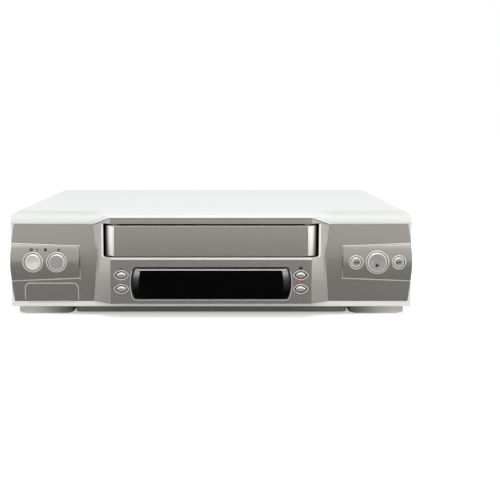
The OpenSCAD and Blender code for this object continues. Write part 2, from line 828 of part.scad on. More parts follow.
// Block of a front foot with round corners, inset all round
module foot_block(x, inset, z0, z1) {
    hx = front_foot_w / 2 - inset;
    hy = front_foot_d / 2 - inset;
    r = foot_corner_r - inset;
    translate([x, front_foot_y, z0]) linear_extrude(z1 - z0) polygon(mirrored(concat(
        arc([hx - r, -hy + r], r, -90, 0, corner_steps),
        arc([hx - r, hy - r], r, 0, 90, corner_steps)
    )));
}

// Large front feet under the ends of the front
module front_feet() {
    color(SILVER) at_front() for (x = [-foot_x, foot_x]) {
        foot_block(x, 0, pad_h + 0.8, foot_h);
        foot_block(x, 0.8, pad_h, pad_h + 0.8);
    }
}

// Rubber pads under the front feet, and the plain rubber rear feet
module rubber_feet() {
    color(BLACK) at_front() for (x = [-foot_x, foot_x]) {
        foot_block(x, pad_inset, 0, pad_h);
        bar_z(x, rear_foot_y, 0, foot_h, rear_foot_r);
    }
}

// Three screws that hold the cover's rear lip
module case_screws() {
    color(STEEL) at_front() for (x = [-lip_screw_x, 0, lip_screw_x]) difference() {
        union() {
            bar_y(x, case_top - 6, rear_y - 6, case_d, 1.5);
            bar_y(x, case_top - 6, case_d, case_d + 1.8, 3.4);
        }
        span([x - 2.6, case_d + 0.9, case_top - 6.4], [x + 2.6, case_d + 3, case_top - 5.6]);
        span([x - 0.4, case_d + 0.9, case_top - 8.6], [x + 0.4, case_d + 3, case_top - 3.4]);
    }
}

// Main circuit board in the right-hand bay with its chips and coils
module main_board() {
    z = pcb_z + pcb_t;
    chips = [[20, 60, 24], [48, 96, 18], [24, 140, 28], [50, 176, 14]];
    coils = 6;
    coil_pitch = (board_out_x - board_in_x - 18.5) / (coils - 1);
    color(GREEN) at_front() union() {
        span([board_in_x, 30, pcb_z], [board_out_x, board_back_y, z]);
        for (c = chips) translate([board_in_x + c[0], c[1], z]) span([-c[2] / 2, -7, 0], [c[2] / 2, 7, 3.2]);
        for (i = [0:coils - 1]) bar_z(board_in_x + 12 + i * coil_pitch, 118, z, z + 9, 3.2);
        for (i = [0:3]) translate([board_in_x + 14 + i * 13, 206, z]) cube([8, 8, 10]);
        for (x = [scart_x - 18, scart_x + 18]) {
            span([x - 2, board_back_y - 15, z], [x + 2, board_back_y - 3, z + 4]);
        }
    }
}

// Power board in the left-hand bay
module power_board() {
    z = pcb_z + pcb_t;
    color([0.62, 0.5, 0.3]) at_front() translate([-board_out_x, 0, 0]) union() {
        span([0, 66, pcb_z], [board_out_x - board_in_x, board_back_y, z]);
        span([11.5, board_back_y - 27, z], [23.5, board_back_y - 5, z + 12]);
        bar_z(55.5, board_back_y - 23, z, z + 8, 6);
        for (i = [0:4]) translate([5.5 + i * 13, 74, z]) cube([6, 6, 7]);
    }
}

// Mains transformer: laminated core round a coil
module transformer() {
    z = pcb_z + pcb_t;
    core_w = 56;
    limb = 10;
    color(GREY) at_front() translate([-board_out_x + 5.5, 112, z]) union() {
        difference() {
            cube([core_w, 38, 46]);
            span([limb, -1, 8], [core_w - limb, 39, 38]);
        }
        span([core_w / 2 - 10, -6, 8], [core_w / 2 + 10, 44, 38]);
    }
}

// Smoothing capacitors
module capacitors() {
    z = pcb_z + pcb_t;
    cans = [[13.5, 92, 7, 30], [31.5, 92, 7, 30], [49.5, 94, 6, 22], [59.5, 190, 5, 16], [59.5, 206, 5, 16]];
    color("midnightblue") at_front() for (c = cans) bar_z(c[0] - board_out_x, c[1], z, z + c[3], c[2]);
}

// Finned aluminium heat sink
module heat_sink() {
    z = pcb_z + pcb_t;
    fins = 8;
    fin_t = 1.4;
    plate_w = 42;
    fin_pitch = (plate_w - fin_t) / (fins - 1);
    color(STEEL) at_front() translate([-board_out_x + 5.5, 176, z]) union() {
        cube([plate_w, 3, 34]);
        for (i = [0:fins - 1]) translate([i * fin_pitch, 2.9, 0]) cube([fin_t, 13.1, 34]);
    }
}

// Tuner can with its two aerial sockets
module tuner_module() {
    color(STEEL) at_front() union() {
        span([tuner_x - 20, deck_back_y + 2, floor_z], [tuner_x + 20, rear_y - wall_t - 0.4, socket_high_z + 14]);
        for (z = [socket_low_z, socket_high_z]) difference() {
            union() {
                bar_y(tuner_x, z, rear_y - wall_t - 0.6, case_d + aerial_out, aerial_r);
                bar_y(tuner_x, z, rear_y - wall_t - 0.6, rear_y - 0.4, aerial_r + 3);
            }
            bar_y(tuner_x, z, case_d - 2, case_d + aerial_out + eps, aerial_r - 1.2);
        }
    }
}

// Two 21-pin sockets with their slanted shrouds
module scart_sockets() {
    color(BLACK) at_front() for (z = [socket_low_z, socket_high_z]) difference() {
        union() {
            span([scart_x - scart_w / 2, scart_front_y, z - 7], [scart_x + scart_w / 2, case_d - 0.2, z + 7]);
            for (x = [scart_x - 14, scart_x + 10]) {
                span([x, scart_front_y - 4, socket_low_z - 9], [x + 4, scart_front_y + 2, z]);
            }
        }
        front_view([
            [scart_x - scart_w / 2 + 2, z - 5.2], [scart_x + scart_w / 2 - 6, z - 5.2],
            [scart_x + scart_w / 2 - 2, z - 1.5], [scart_x + scart_w / 2 - 2, z + 5.2],
            [scart_x - scart_w / 2 + 2, z + 5.2]
        ], scart_front_y + 8, case_d + eps);
    }
}

// Stereo phono output sockets
module audio_sockets() {
    color("gold") at_front() difference() {
        union() {
            span([audio_x - 9, rear_y - 20, floor_z], [audio_x + 9, rear_y - wall_t - 0.4, socket_high_z + 9]);
            for (z = [socket_low_z, socket_high_z]) bar_y(audio_x, z, rear_y - 3, case_d + 5, 4.2);
        }
        for (z = [socket_low_z, socket_high_z]) bar_y(audio_x, z, rear_y - 8, case_d + 5 + eps, 1.7);
    }
}

// Two-pin mains inlet
module mains_inlet() {
    z0 = pcb_z + pcb_t;
    color(BLACK) at_front() union() {
        difference() {
            span([mains_x - inlet_half, rear_y - 20, z0], [mains_x + inlet_half, case_d - 0.2, socket_low_z + 8]);
            span([mains_x - 4.5, rear_y - 13, socket_low_z - 3.6], [mains_x + 4.5, case_d + eps, socket_low_z + 3.6]);
            for (x = [mains_x - 4.5, mains_x + 4.5]) bar_y(x, socket_low_z, rear_y - 13, case_d + eps, 3.6);
        }
        for (x = [mains_x - 4.3, mains_x + 4.3]) bar_y(x, socket_low_z, rear_y - 14, rear_y - 4, 1.1);
    }
}

// Steel deck plate with its reel and arm pivots, guide slots and shaft holes
module deck_plate() {
    under = deck_z - deck_t;
    color(STEEL) at_front() difference() {
        union() {
            span([-deck_half, deck_front_y, under], [deck_half, deck_back_y, deck_z]);
            both() bar_z(reel_x, reel_y, deck_z - 0.1, deck_z + 21, capstan_r);
            bar_z(pinch_x, pinch_y, deck_z - 0.1, deck_z + 15, 2);
            bar_z(-pinch_x - 2, pinch_y + 2, deck_z - 0.1, deck_z + 4, capstan_r);
            bar_z(cam_x, cam_y, cam_z - 0.5, deck_z - 0.1, 2.5);
            bar_z(0, clutch_y, under - 3, deck_z, 4);
        }
        bar_z(capstan_x, capstan_y, under - 1, deck_z + 1, 4.5 + run_fit);
        bar_z(0, clutch_y, under - 4, deck_z + 1, 2 + run_fit);
        bar_z(cam_x, motor_y, under - 1, deck_z + 1, pinion_pitch_r + 2);
        for (side = [-1, 1]) guide_slot(side);
        for (x = [-post_x, post_x], y = [post_front_y, post_back_y]) bar_z(x, y, under - 1, deck_z + 1, 1.5 + run_fit);
        both() span([22, 70, under - 1], [70, 78, deck_z + 1]);
    }
}

// Slot in the deck along which one tape guide travels
module guide_slot(side) {
    a = guide_start[side < 0 ? 0 : 1];
    b = guide_end[side < 0 ? 0 : 1];
    slot_r = 1.8;
    translate([a[0], a[1], deck_z - deck_t - 1]) rotate(atan2(b[1] - a[1], b[0] - a[0])) union() {
        translate([0, -slot_r, 0]) cube([norm(b - a), 2 * slot_r, deck_t + 2]);
        cylinder(r = slot_r, h = deck_t + 2);
        translate([norm(b - a), 0, 0]) cylinder(r = slot_r, h = deck_t + 2);
    }
}

// Posts and screws that carry the deck on the bottom plate
module deck_posts() {
    color(STEEL) at_front() for (x = [-post_x, post_x], y = [post_front_y, post_back_y]) {
        bar_z(x, y, y < pan_end_y ? pan_z + sheet_t : floor_z, deck_z - deck_t, 4);
        bar_z(x, y, deck_z - deck_t - 0.1, deck_z + 1.6, 1.5);
        bar_z(x, y, deck_z, deck_z + 1.8, 2.8);
    }
}

// Places its children in the tilted frame of the head drum
module at_drum() {
    translate([drum_x, drum_y, drum_z]) rotate([drum_tilt, 0, 0]) children();
}

// Fixed lower half of the drum on its pedestal
module drum_base() {
    color(STEEL) at_front() difference() {
        union() {
            bar_z(drum_x, drum_y, deck_z, drum_z, 17);
            at_drum() bar_z(0, 0, -drum_h / 2, drum_h / 2, drum_r);
        }
        at_drum() bar_z(0, 0, -drum_h / 2 + 3, drum_h / 2 + 1, 3 + run_fit);
        at_drum() difference() {
            bar_z(0, 0, drum_h / 2 - 1.2, drum_h / 2 + 1, drum_r + 1);
            bar_z(0, 0, drum_h / 2 - 2, drum_h / 2 + 2, drum_r - 0.5);
        }
    }
}

// Turning upper half of the drum with its head windows and shaft
module head_drum() {
    z0 = drum_h / 2 + gap;
    color("silver") at_front() at_drum() difference() {
        union() {
            bar_z(0, 0, z0, z0 + 15, drum_r);
            bar_z(0, 0, -drum_h / 2 + 3.3, z0 + 19, 3);
            bar_z(0, 0, z0 + 14, z0 + 17, 12);
        }
        for (a = [0, 90, 180, 270]) rotate(a) translate([drum_r - 1.5, -2.5, z0 - 1]) cube([3, 5, 4]);
        for (a = [45, 225]) rotate(a) bar_z(20, 0, z0 + 10, z0 + 20, 4);
    }
}

// Capstan: thin shaft, heavy flywheel and belt pulley
module capstan() {
    color("silver") at_front() union() {
        bar_z(capstan_x, capstan_y, pulley_z - 1.5, deck_z + 24, capstan_r);
        bar_z(capstan_x, capstan_y, pulley_z, pulley_z + pulley_h, capstan_pulley_r);
        bar_z(capstan_x, capstan_y, pulley_z + pulley_h - 0.1, flywheel_z + 0.1, 6);
        bar_z(capstan_x, capstan_y, flywheel_z, flywheel_z + 7.5, flywheel_r);
    }
}

// Bearing bush that holds the capstan in the deck
module capstan_bearing() {
    under = deck_z - deck_t;
    color("goldenrod") at_front() difference() {
        union() {
            bar_z(capstan_x, capstan_y, under - 3.4, under, 9);
            bar_z(capstan_x, capstan_y, under - 3.4, deck_z + 2.2, 4.5);
        }
        bar_z(capstan_x, capstan_y, under - 4, deck_z + 3, capstan_r + run_fit);
    }
}

// Clutch: belt pulley below the deck and rubber-faced wheel above it
module clutch_pulley() {
    color(BLACK) at_front() union() {
        bar_z(0, clutch_y, pulley_z, wheel_z + 5.6, 2);
        bar_z(0, clutch_y, pulley_z, pulley_z + pulley_h, clutch_pulley_r);
        bar_z(0, clutch_y, wheel_z, wheel_z + 2.6, clutch_wheel_r);
    }
}

// Outline round both pulleys, grown by a distance
module belt_outline(grow) {
    hull() {
        translate([capstan_x, capstan_y]) circle(r = capstan_pulley_r + grow, $fn = 48);
        translate([0, clutch_y]) circle(r = clutch_pulley_r + grow, $fn = 48);
    }
}

// Flat rubber belt from the capstan to the clutch
module drive_belt() {
    color(BLACK) at_front() translate([0, 0, pulley_z + 0.5]) linear_extrude(pulley_h - 1) difference() {
        belt_outline(1.3);
        belt_outline(0.2);
    }
}

// Arm that swings the idler wheel between the reels
module idler_arm() {
    z = wheel_z + 3;
    color(GREY) at_front() difference() {
        union() {
            bar_z(0, clutch_y, z, z + 1.6, 5);
            span([-2.5, clutch_y, z], [2.5, clutch_y + idler_reach, z + 1.6]);
            bar_z(0, clutch_y + idler_reach, z, z + 1.6, 3);
            bar_z(0, clutch_y + idler_reach, deck_z + 0.4, z + 0.1, 1.2);
        }
        bar_z(0, clutch_y, z - 1, z + 3, 2 + run_fit);
    }
}

// Idler wheel with a rubber rim
module idler_wheel() {
    y = clutch_y + idler_reach;
    color(BLACK) at_front() difference() {
        bar_z(0, y, wheel_z, wheel_z + 2.6, idler_r);
        bar_z(0, y, wheel_z - 1, wheel_z + 4, 1.2 + run_fit);
    }
}

// Reel table: rim, hub and a spindle with three drive fins
module reel_table(x) {
    at_front() difference() {
        union() {
            bar_z(x, reel_y, wheel_z, wheel_z + 2.6, reel_r);
            bar_z(x, reel_y, wheel_z, wheel_z + 5.5, 13);
            bar_z(x, reel_y, wheel_z, deck_z + 19, 4);
            for (a = [0, 120, 240]) translate([x, reel_y, wheel_z]) rotate(a) translate([0, -0.8, 0]) cube([6.2, 1.6, 15]);
        }
        bar_z(x, reel_y, wheel_z - 1, deck_z + 22, capstan_r + run_fit);
    }
}

module supply_reel() { color("white") reel_table(-reel_x); }
module take_up_reel() { color("white") reel_table(reel_x); }

// Places its children at the pinch roller's rest position
module at_pinch_roller() {
    translate([pinch_x + pinch_reach * cos(pinch_rest), pinch_y + pinch_reach * sin(pinch_rest), 0]) children();
}

// Arm that swings the pinch roller against the capstan
module pinch_arm() {
    z = deck_z + 0.6;
    arm_half = 3;
    color(STEEL) at_front() difference() {
        union() {
            bar_z(pinch_x, pinch_y, z, z + 13, 4.5);
            translate([pinch_x, pinch_y, z]) rotate(pinch_rest) translate([0, -2.6, 0]) cube([pinch_reach, 5.2, 1.8]);
            at_pinch_roller() {
                bar_z(0, 0, z, z + 1.8, arm_half);
                bar_z(0, 0, z, z + 22, capstan_r);
            }
        }
        bar_z(pinch_x, pinch_y, z - 1, z + 14, 2 + run_fit);
    }
}

// Rubber pinch roller
module pinch_roller() {
    z = deck_z + 3;
    color(BLACK) at_front() at_pinch_roller() difference() {
        bar_z(0, 0, z, z + 18, pinch_roller_r);
        bar_z(0, 0, z - 1, z + 19, capstan_r + run_fit);
    }
}

// Tape guide: block that rides on the deck, tongue in the slot and roller post
module tape_guide(index) {
    a = guide_start[index];
    b = guide_end[index];
    color(STEEL) at_front() translate([a[0], a[1], 0]) rotate(atan2(b[1] - a[1], b[0] - a[0])) union() {
        span([-6, -4.5, deck_z + 0.2], [6, 4.5, deck_z + 4]);
        bar_z(0, 0, deck_z - deck_t - 1, deck_z + 1, 1.5);
        bar_z(2, 0, deck_z + 3.9, deck_z + 28, 2.6);
        bar_z(2, 0, deck_z + 3.9, deck_z + 7, 3.8);
        bar_z(2, 0, deck_z + 25.5, deck_z + 28, 3.8);
        bar_z(-3.5, 0, deck_z + 3.9, deck_z + 24, 1.2);
    }
}

module left_guide() { tape_guide(0); }
module right_guide() { tape_guide(1); }

// Tension arm with its tape pin
module tension_arm() {
    z = deck_z + 0.5;
    color(STEEL) at_front() difference() {
        translate([-pinch_x - 2, pinch_y + 2, 0]) rotate(-60) union() {
            bar_z(0, 0, z, z + 3, 4);
            span([0, -2, z], [20, 2, z + 1.4]);
            bar_z(20, 0, z, z + 24, 1.5);
            bar_z(20, 0, z, z + 1.4, 3);
        }
        bar_z(-pinch_x - 2, pinch_y + 2, z - 1, z + 5, capstan_r + run_fit);
    }
}

// Erase head and sound head on their brackets
module fixed_heads() {
    color(STEEL) at_front() for (p = [[-62, 184, 30], [60, 198, -35]]) translate([p[0], p[1], deck_z]) rotate(p[2]) {
        span([-6, -5, 0], [6, 5, 3]);
        span([-4.5, -4, 2.9], [4.5, 4, 22]);
    }
}

// Plan of a spur gear with straight-sided teeth
function gear_plan(teeth, m) = [for (i = [0:teeth - 1], k = [0:3])
    let (
        pitch_r = m * teeth / 2,
        step = 360 / teeth,
        out = k == 1 || k == 2,
        r = out ? pitch_r + 0.8 * m : pitch_r - 1.1 * m,
        half = out ? 0.11 : 0.3,
        a = i * step + (k < 2 ? -half : half) * step
    ) r * [cos(a), sin(a)]];

// Cam gear below the deck, which moves the guides
module cam_gear() {
    color("white") at_front() translate([cam_x, cam_y, 0]) difference() {
        union() {
            plan(gear_plan(cam_teeth, gear_module), cam_z, cam_z + cam_t);
            bar_z(0, 0, cam_z, cam_z + cam_t + 3.5, 6);
        }
        bar_z(0, 0, cam_z - 1, cam_z + cam_t + 5, 2.5 + run_fit);
        for (a = [60, 180, 300]) rotate(a) bar_z(12, 0, cam_z - 1, cam_z + cam_t + 1, 3.5);
    }
}

// Pinion on the loading motor's shaft
module loading_pinion() {
    color("white") at_front() translate([cam_x, motor_y, 0]) difference() {
        plan(gear_plan(pinion_teeth, gear_module), cam_z, cam_z + cam_t + 2);
        bar_z(0, 0, cam_z - 1, cam_z + cam_t + 4, 1 + run_fit);
    }
}

// Loading motor standing on the deck
module loading_motor() {
    color("silver") at_front() union() {
        bar_z(cam_x, motor_y, deck_z, deck_z + 24, 11);
        bar_z(cam_x, motor_y, deck_z + 23.9, deck_z + 26, 4);
        bar_z(cam_x, motor_y, cam_z, deck_z + 0.1, 1);
    }
}

// A slot for a guide pin, along Y or Z, through a plate across X
module pin_slot(x0, x1, low, high, r) {
    span([x0, low[0] - r, low[1] - r], [x1, high[0] + r, high[1] + r]);
}

// Side brackets on the deck, joined by a bridge, with the slots for the slider's pins
module tray_frame() {
    pin_z = tray_floor_z + 14.3;
    bridge_z = tray_floor_z + tray_inner_h + tray_t + 3.5;
    color(STEEL) at_front() union() {
        both() difference() {
            side_view([
                [deck_front_y, deck_z], [bracket_end_y, deck_z], [bracket_end_y, bridge_z + tray_t],
                [tray_front_y, bridge_z + tray_t], [tray_front_y, 50], [deck_front_y, 50]
            ], bracket_x, bracket_x + tray_t);
            for (y = [tray_front_y + 10, tray_front_y + 75]) {
                pin_slot(bracket_x - eps, bracket_x + tray_t + eps, [y, pin_z], [y + tray_in, pin_z], 1.5 + gap);
            }
            span([bracket_x - eps, 80, 34], [bracket_x + tray_t + eps, 145, 56]);
        }
        span([-bracket_x - tray_t, 100, bridge_z], [bracket_x + tray_t, 116, bridge_z + tray_t]);
    }
}

// Slider that runs in the brackets and carries the tray in its upright slots
module tray_slider() {
    x0 = tray_half + tray_t + 1.5;
    pin_z = tray_floor_z + 14.3;
    tray_pin_z = tray_floor_z + 17.3;
    top_z = tray_floor_z + tray_inner_h + tray_t + 1;
    color(GREY) at_front() union() {
        both() difference() {
            union() {
                span([x0, tray_front_y + 2, tray_floor_z - 19.7], [x0 + tray_t, tray_front_y + tray_d - 2, top_z + tray_t]);
                for (y = [tray_front_y + 10, tray_front_y + 75]) {
                    bar_x(y, pin_z, x0 + tray_t - 0.1, bracket_x + tray_t + 0.8, 1.5);
                }
            }
            for (y = [tray_front_y + 22, tray_front_y + 63]) {
                pin_slot(x0 - eps, x0 + tray_t + eps, [y, tray_pin_z - tray_down], [y, tray_pin_z], 1.5 + gap);
            }
        }
        span([-x0 - tray_t, tray_front_y + 40, top_z], [x0 + tray_t, tray_front_y + 50, top_z + tray_t]);
    }
}

// Tray that holds the cassette: two ledges, two sides and a top plate
module cassette_tray() {
    x1 = tray_half + tray_t;
    pin_z = tray_floor_z + 17.3;
    top_z = tray_floor_z + tray_inner_h;
    y0 = tray_front_y;
    y1 = tray_front_y + tray_d;
    color(STEEL) at_front() union() {
        both() {
            span([80, y0, tray_floor_z - tray_t], [x1, y1, tray_floor_z]);
            span([tray_half, y0, tray_floor_z - tray_t], [x1, y1, top_z + tray_t]);
            for (y = [y0 + 22, y0 + 63]) bar_x(y, pin_z, x1 - 0.1, x1 + 2.8, 1.5);
        }
        difference() {
            span([-x1, y0, top_z], [x1, y1, top_z + tray_t]);
            span([-50, y0 + 20, top_z - 1], [50, y1 - 12, top_z + 2]);
        }
    }
}

top_cover();
bottom_plate();
main_frame();
rear_panel();
front_frame();
front_fascia();
left_key_panel();
right_key_panel();
cassette_door();
display_window();
display_tube();
av_flap();
av_jacks();
power_key();
eject_key();
rewind_key();
play_key();
fast_forward_key();
channel_up_key();
channel_down_key();
speed_key();
record_key();
front_board();
tact_switches();
front_feet();
rubber_feet();
case_screws();
main_board();
power_board();
transformer();
capacitors();
heat_sink();
tuner_module();
scart_sockets();
audio_sockets();
mains_inlet();
deck_plate();
deck_posts();
drum_base();
head_drum();
capstan();
capstan_bearing();
clutch_pulley();
drive_belt();
idler_arm();
idler_wheel();
supply_reel();
take_up_reel();
pinch_arm();
pinch_roller();
left_guide();
right_guide();
tension_arm();
fixed_heads();
cam_gear();
loading_pinion();
loading_motor();
tray_frame();
tray_slider();
cassette_tray();
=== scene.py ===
"""Finishes and fine geometry of a front-loading video cassette recorder.

X runs along the front, Y from the front to the back and Z up, in metres.
"""

import json
import logging
import math
from collections.abc import Callable, Iterable, Mapping, Sequence
from dataclasses import dataclass
from enum import Enum
from functools import cache

import bmesh
import bpy
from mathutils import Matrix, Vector

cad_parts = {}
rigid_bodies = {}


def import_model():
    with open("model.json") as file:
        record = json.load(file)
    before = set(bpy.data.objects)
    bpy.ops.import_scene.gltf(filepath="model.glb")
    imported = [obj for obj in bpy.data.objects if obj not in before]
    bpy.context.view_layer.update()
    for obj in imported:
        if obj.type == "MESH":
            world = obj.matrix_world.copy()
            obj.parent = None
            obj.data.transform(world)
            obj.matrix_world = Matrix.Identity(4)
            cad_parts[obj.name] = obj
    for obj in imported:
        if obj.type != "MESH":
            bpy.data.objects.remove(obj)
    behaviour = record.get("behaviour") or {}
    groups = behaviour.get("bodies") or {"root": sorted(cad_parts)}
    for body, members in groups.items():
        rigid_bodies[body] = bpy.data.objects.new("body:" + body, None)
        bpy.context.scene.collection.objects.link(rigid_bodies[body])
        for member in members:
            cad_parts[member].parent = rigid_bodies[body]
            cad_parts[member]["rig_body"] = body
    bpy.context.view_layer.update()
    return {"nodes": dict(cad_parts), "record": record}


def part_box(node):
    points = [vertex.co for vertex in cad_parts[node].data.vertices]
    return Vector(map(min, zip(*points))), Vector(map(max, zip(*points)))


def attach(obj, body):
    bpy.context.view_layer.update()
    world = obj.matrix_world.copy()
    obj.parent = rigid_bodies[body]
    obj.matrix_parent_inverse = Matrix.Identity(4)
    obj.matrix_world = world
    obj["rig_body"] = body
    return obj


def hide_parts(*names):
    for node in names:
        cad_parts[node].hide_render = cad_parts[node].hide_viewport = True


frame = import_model()

LOG = logging.getLogger("recorder")
MM = 0.001
# Width of the rounded edges of thin shells.
HAIR = 0.05 * MM
# Faces across a rounded edge.
EDGE_FACES = 2
# How much the large faces rule the shading of their corners, where 50 is even.
FLAT_WEIGHT = 90
# Share of a face's direction that has to point sideways, and forwards, on a slanting facet, which takes the
# facets' painted light.
LEAN = 0.3
# How far the edges of a bead reach into the surface under it.
BEAD_SUNK = 0.3 * MM
# How far the cover starts behind the plane of the key wings.
COVER_SETBACK = 15.3 * MM
WING_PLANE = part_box("top_cover")[0].y - COVER_SETBACK

Colour = tuple[float, float, float]
Point = tuple[float, float]
Place = tuple[float, float, float]
DUST_COLOUR: Colour = (0.62, 0.6, 0.56)
WHITE_LIGHT = (1.0, 1.0, 1.0, 1.0)


class Slot(Enum):
    """Material slots of the recorder."""

    COVER = "cover_paint"
    PALE = "pale_plastic"
    SILVER = "silver_plastic"
    KEY = "key_plastic"
    WINDOW = "smoked_window"
    TUBE = "tube_glass"
    GOLD = "gold_plate"
    GREY = "grey_plastic"
    BLACK = "black_plastic"
    WHITE = "white_plastic"
    BOARD = "circuit_board"
    PAPER = "paper_board"
    ZINC = "zinc_steel"
    SCREW = "screw_steel"
    CORE = "core_steel"
    SLEEVE = "capacitor_sleeve"
    ALUMINIUM = "bare_aluminium"
    CAN = "motor_can"
    BRONZE = "bush_bronze"
    FOOT = "foot_silver"
    RUBBER = "black_rubber"


class Mark(Enum):
    """Pictograms printed on or beside the keys."""

    PLAY = "play"
    REWIND = "rewind"
    FAST_FORWARD = "fast_forward"
    STOP = "stop"
    EJECT = "eject"
    PLUS = "plus"
    MINUS = "minus"
    RECORD = "record"
    POWER = "power"
    BAR = "bar"
    RING = "ring"
    CLOCK = "clock"


class Axis(Enum):
    """Directions that a round piece's axis takes."""

    X = 0
    Y = 1
    Z = 2


def linear(colour: Colour) -> tuple[float, float, float, float]:
    """Turns a written colour into the light that Blender mixes.

    Args:
        colour: Red, green and blue from 0 to 1, as a screen shows them.

    Returns:
        Linear red, green and blue, and an opacity of 1.
    """
    knee, slope, offset, power = 0.04045, 12.92, 0.055, 2.4
    parts = [c / slope if c <= knee else ((c + offset) / (1 + offset)) ** power for c in colour]
    return (parts[0], parts[1], parts[2], 1.0)


class Graph:
    """Adds and joins the nodes of one tree."""

    def __init__(self, tree: bpy.types.NodeTree) -> None:
        """Keeps the tree that the nodes go into.

        Args:
            tree: A material's, a group's or a modifier's tree.
        """
        self.tree = tree

    def node(self, kind: str, inputs: Mapping[str | int, object] | None = None, **settings: object
             ) -> bpy.types.Node:
        """Adds one node.

        Args:
            kind: Blender's name of the node type.
            inputs: A socket or a plain value for each input, by its label or its number.
            settings: Attributes to set on the node.

        Returns:
            The new node.
        """
        made = self.tree.nodes.new(kind)
        for name, value in settings.items():
            setattr(made, name, value)
        for label, value in (inputs or {}).items():
            self.feed(made.inputs[label], value)
        return made

    def feed(self, target: bpy.types.NodeSocket, value: object) -> None:
        """Joins a socket to a target, or sets a plain value on it."""
        if isinstance(value, bpy.types.NodeSocket):
            self.tree.links.new(value, target)
        else:
            target.default_value = value

    def math(self, operation: str, first: object, second: object = 0.0, third: object = 0.0
             ) -> bpy.types.NodeSocket:
        """Adds a sum.

        Args:
            operation: Name of the sum, such as MULTIPLY.
            first: A socket or a number.
            second: A socket or a number.
            third: A socket or a number.

        Returns:
            The result's socket.
        """
        numbers = {0: first, 1: second, 2: third}
        return self.node("ShaderNodeMath", numbers, operation=operation).outputs[0]

    def mix(self, factor: object, first: object, second: object, blend: str = "MIX"
            ) -> bpy.types.NodeSocket:
        """Mixes two colours.

        Args:
            factor: Share of the second colour.
            first: A socket or a linear colour.
            second: A socket or a linear colour.
            blend: Way in which they mix.

        Returns:
            The mixed colour's socket.
        """
        colours = {"Factor": factor, 6: first, 7: second}
        return self.node("ShaderNodeMix", colours, data_type="RGBA", blend_type=blend).outputs[2]

    def noise(self, vector: object, scale: object, detail: float = 2.0, blur: float = 0.5
              ) -> bpy.types.NodeSocket:
        """Adds a noise.

        Args:
            vector: Socket with the place.
            scale: Waves per metre.
            detail: Octaves.
            blur: Roughness of the octaves.

        Returns:
            The value's socket.
        """
        waves = {"Vector": vector, "Scale": scale, "Detail": detail, "Roughness": blur}
        return self.node("ShaderNodeTexNoise", waves).outputs["Fac"]

    def split(self, place: bpy.types.NodeSocket) -> bpy.types.Node:
        """Adds a node that gives a place's X, Y and Z."""
        return self.node("ShaderNodeSeparateXYZ", {0: place})

    def grey(self, shade: bpy.types.NodeSocket) -> bpy.types.NodeSocket:
        """Turns a shade into a grey colour."""
        return self.node("ShaderNodeCombineColor", {0: shade, 1: shade, 2: shade}).outputs[0]

    def bump(self, height: bpy.types.NodeSocket, depth: object) -> bpy.types.NodeSocket:
        """Turns a height from 0 to 1, which stands for a depth in metres, into a normal."""
        return self.node("ShaderNodeBump", {"Height": height, "Distance": depth}).outputs["Normal"]

    def ramp(self, value: bpy.types.NodeSocket, start: Point, end: Point) -> bpy.types.NodeSocket:
        """Leads smoothly from one level to another.

        Args:
            value: Socket that runs along the ramp.
            start: Value at the ramp's foot, and the level there.
            end: Value at the ramp's head, and the level there.

        Returns:
            The level's socket.
        """
        made = self.node("ShaderNodeMapRange", {
            "Value": value, "From Min": start[0], "From Max": end[0], "To Min": start[1], "To Max": end[1],
        }, interpolation_type="SMOOTHSTEP")
        return made.outputs["Result"]

    def reach(self, centre: Place = (0.0, 0.0, 0.0)) -> bpy.types.NodeSocket:
        """Gives the distance of a point of the surface from a centre."""
        place = self.node("ShaderNodeTexCoord").outputs["Object"]
        offset = self.node("ShaderNodeVectorMath", {0: place, 1: centre}, operation="SUBTRACT")
        length = self.node("ShaderNodeVectorMath", {0: offset.outputs[0]}, operation="LENGTH")
        return length.outputs["Value"]

    def show(self, shader: bpy.types.Node, kind: str = "ShaderNodeOutputMaterial") -> None:
        """Joins a shader to an output of the given kind."""
        self.feed(self.node(kind).inputs["Surface"], shader.outputs[0])


def blank(store: bpy.types.bpy_prop_collection, name: str) -> tuple[bpy.types.ID, Graph]:
    """Starts a material or a world with an empty tree.

    Args:
        store: Where Blender keeps its kind.
        name: Its name.

    Returns:
        The material or world, and the graph of its tree.
    """
    made = store.new(name)
    made.use_nodes = True
    made.node_tree.nodes.clear()
    return made, Graph(made.node_tree)


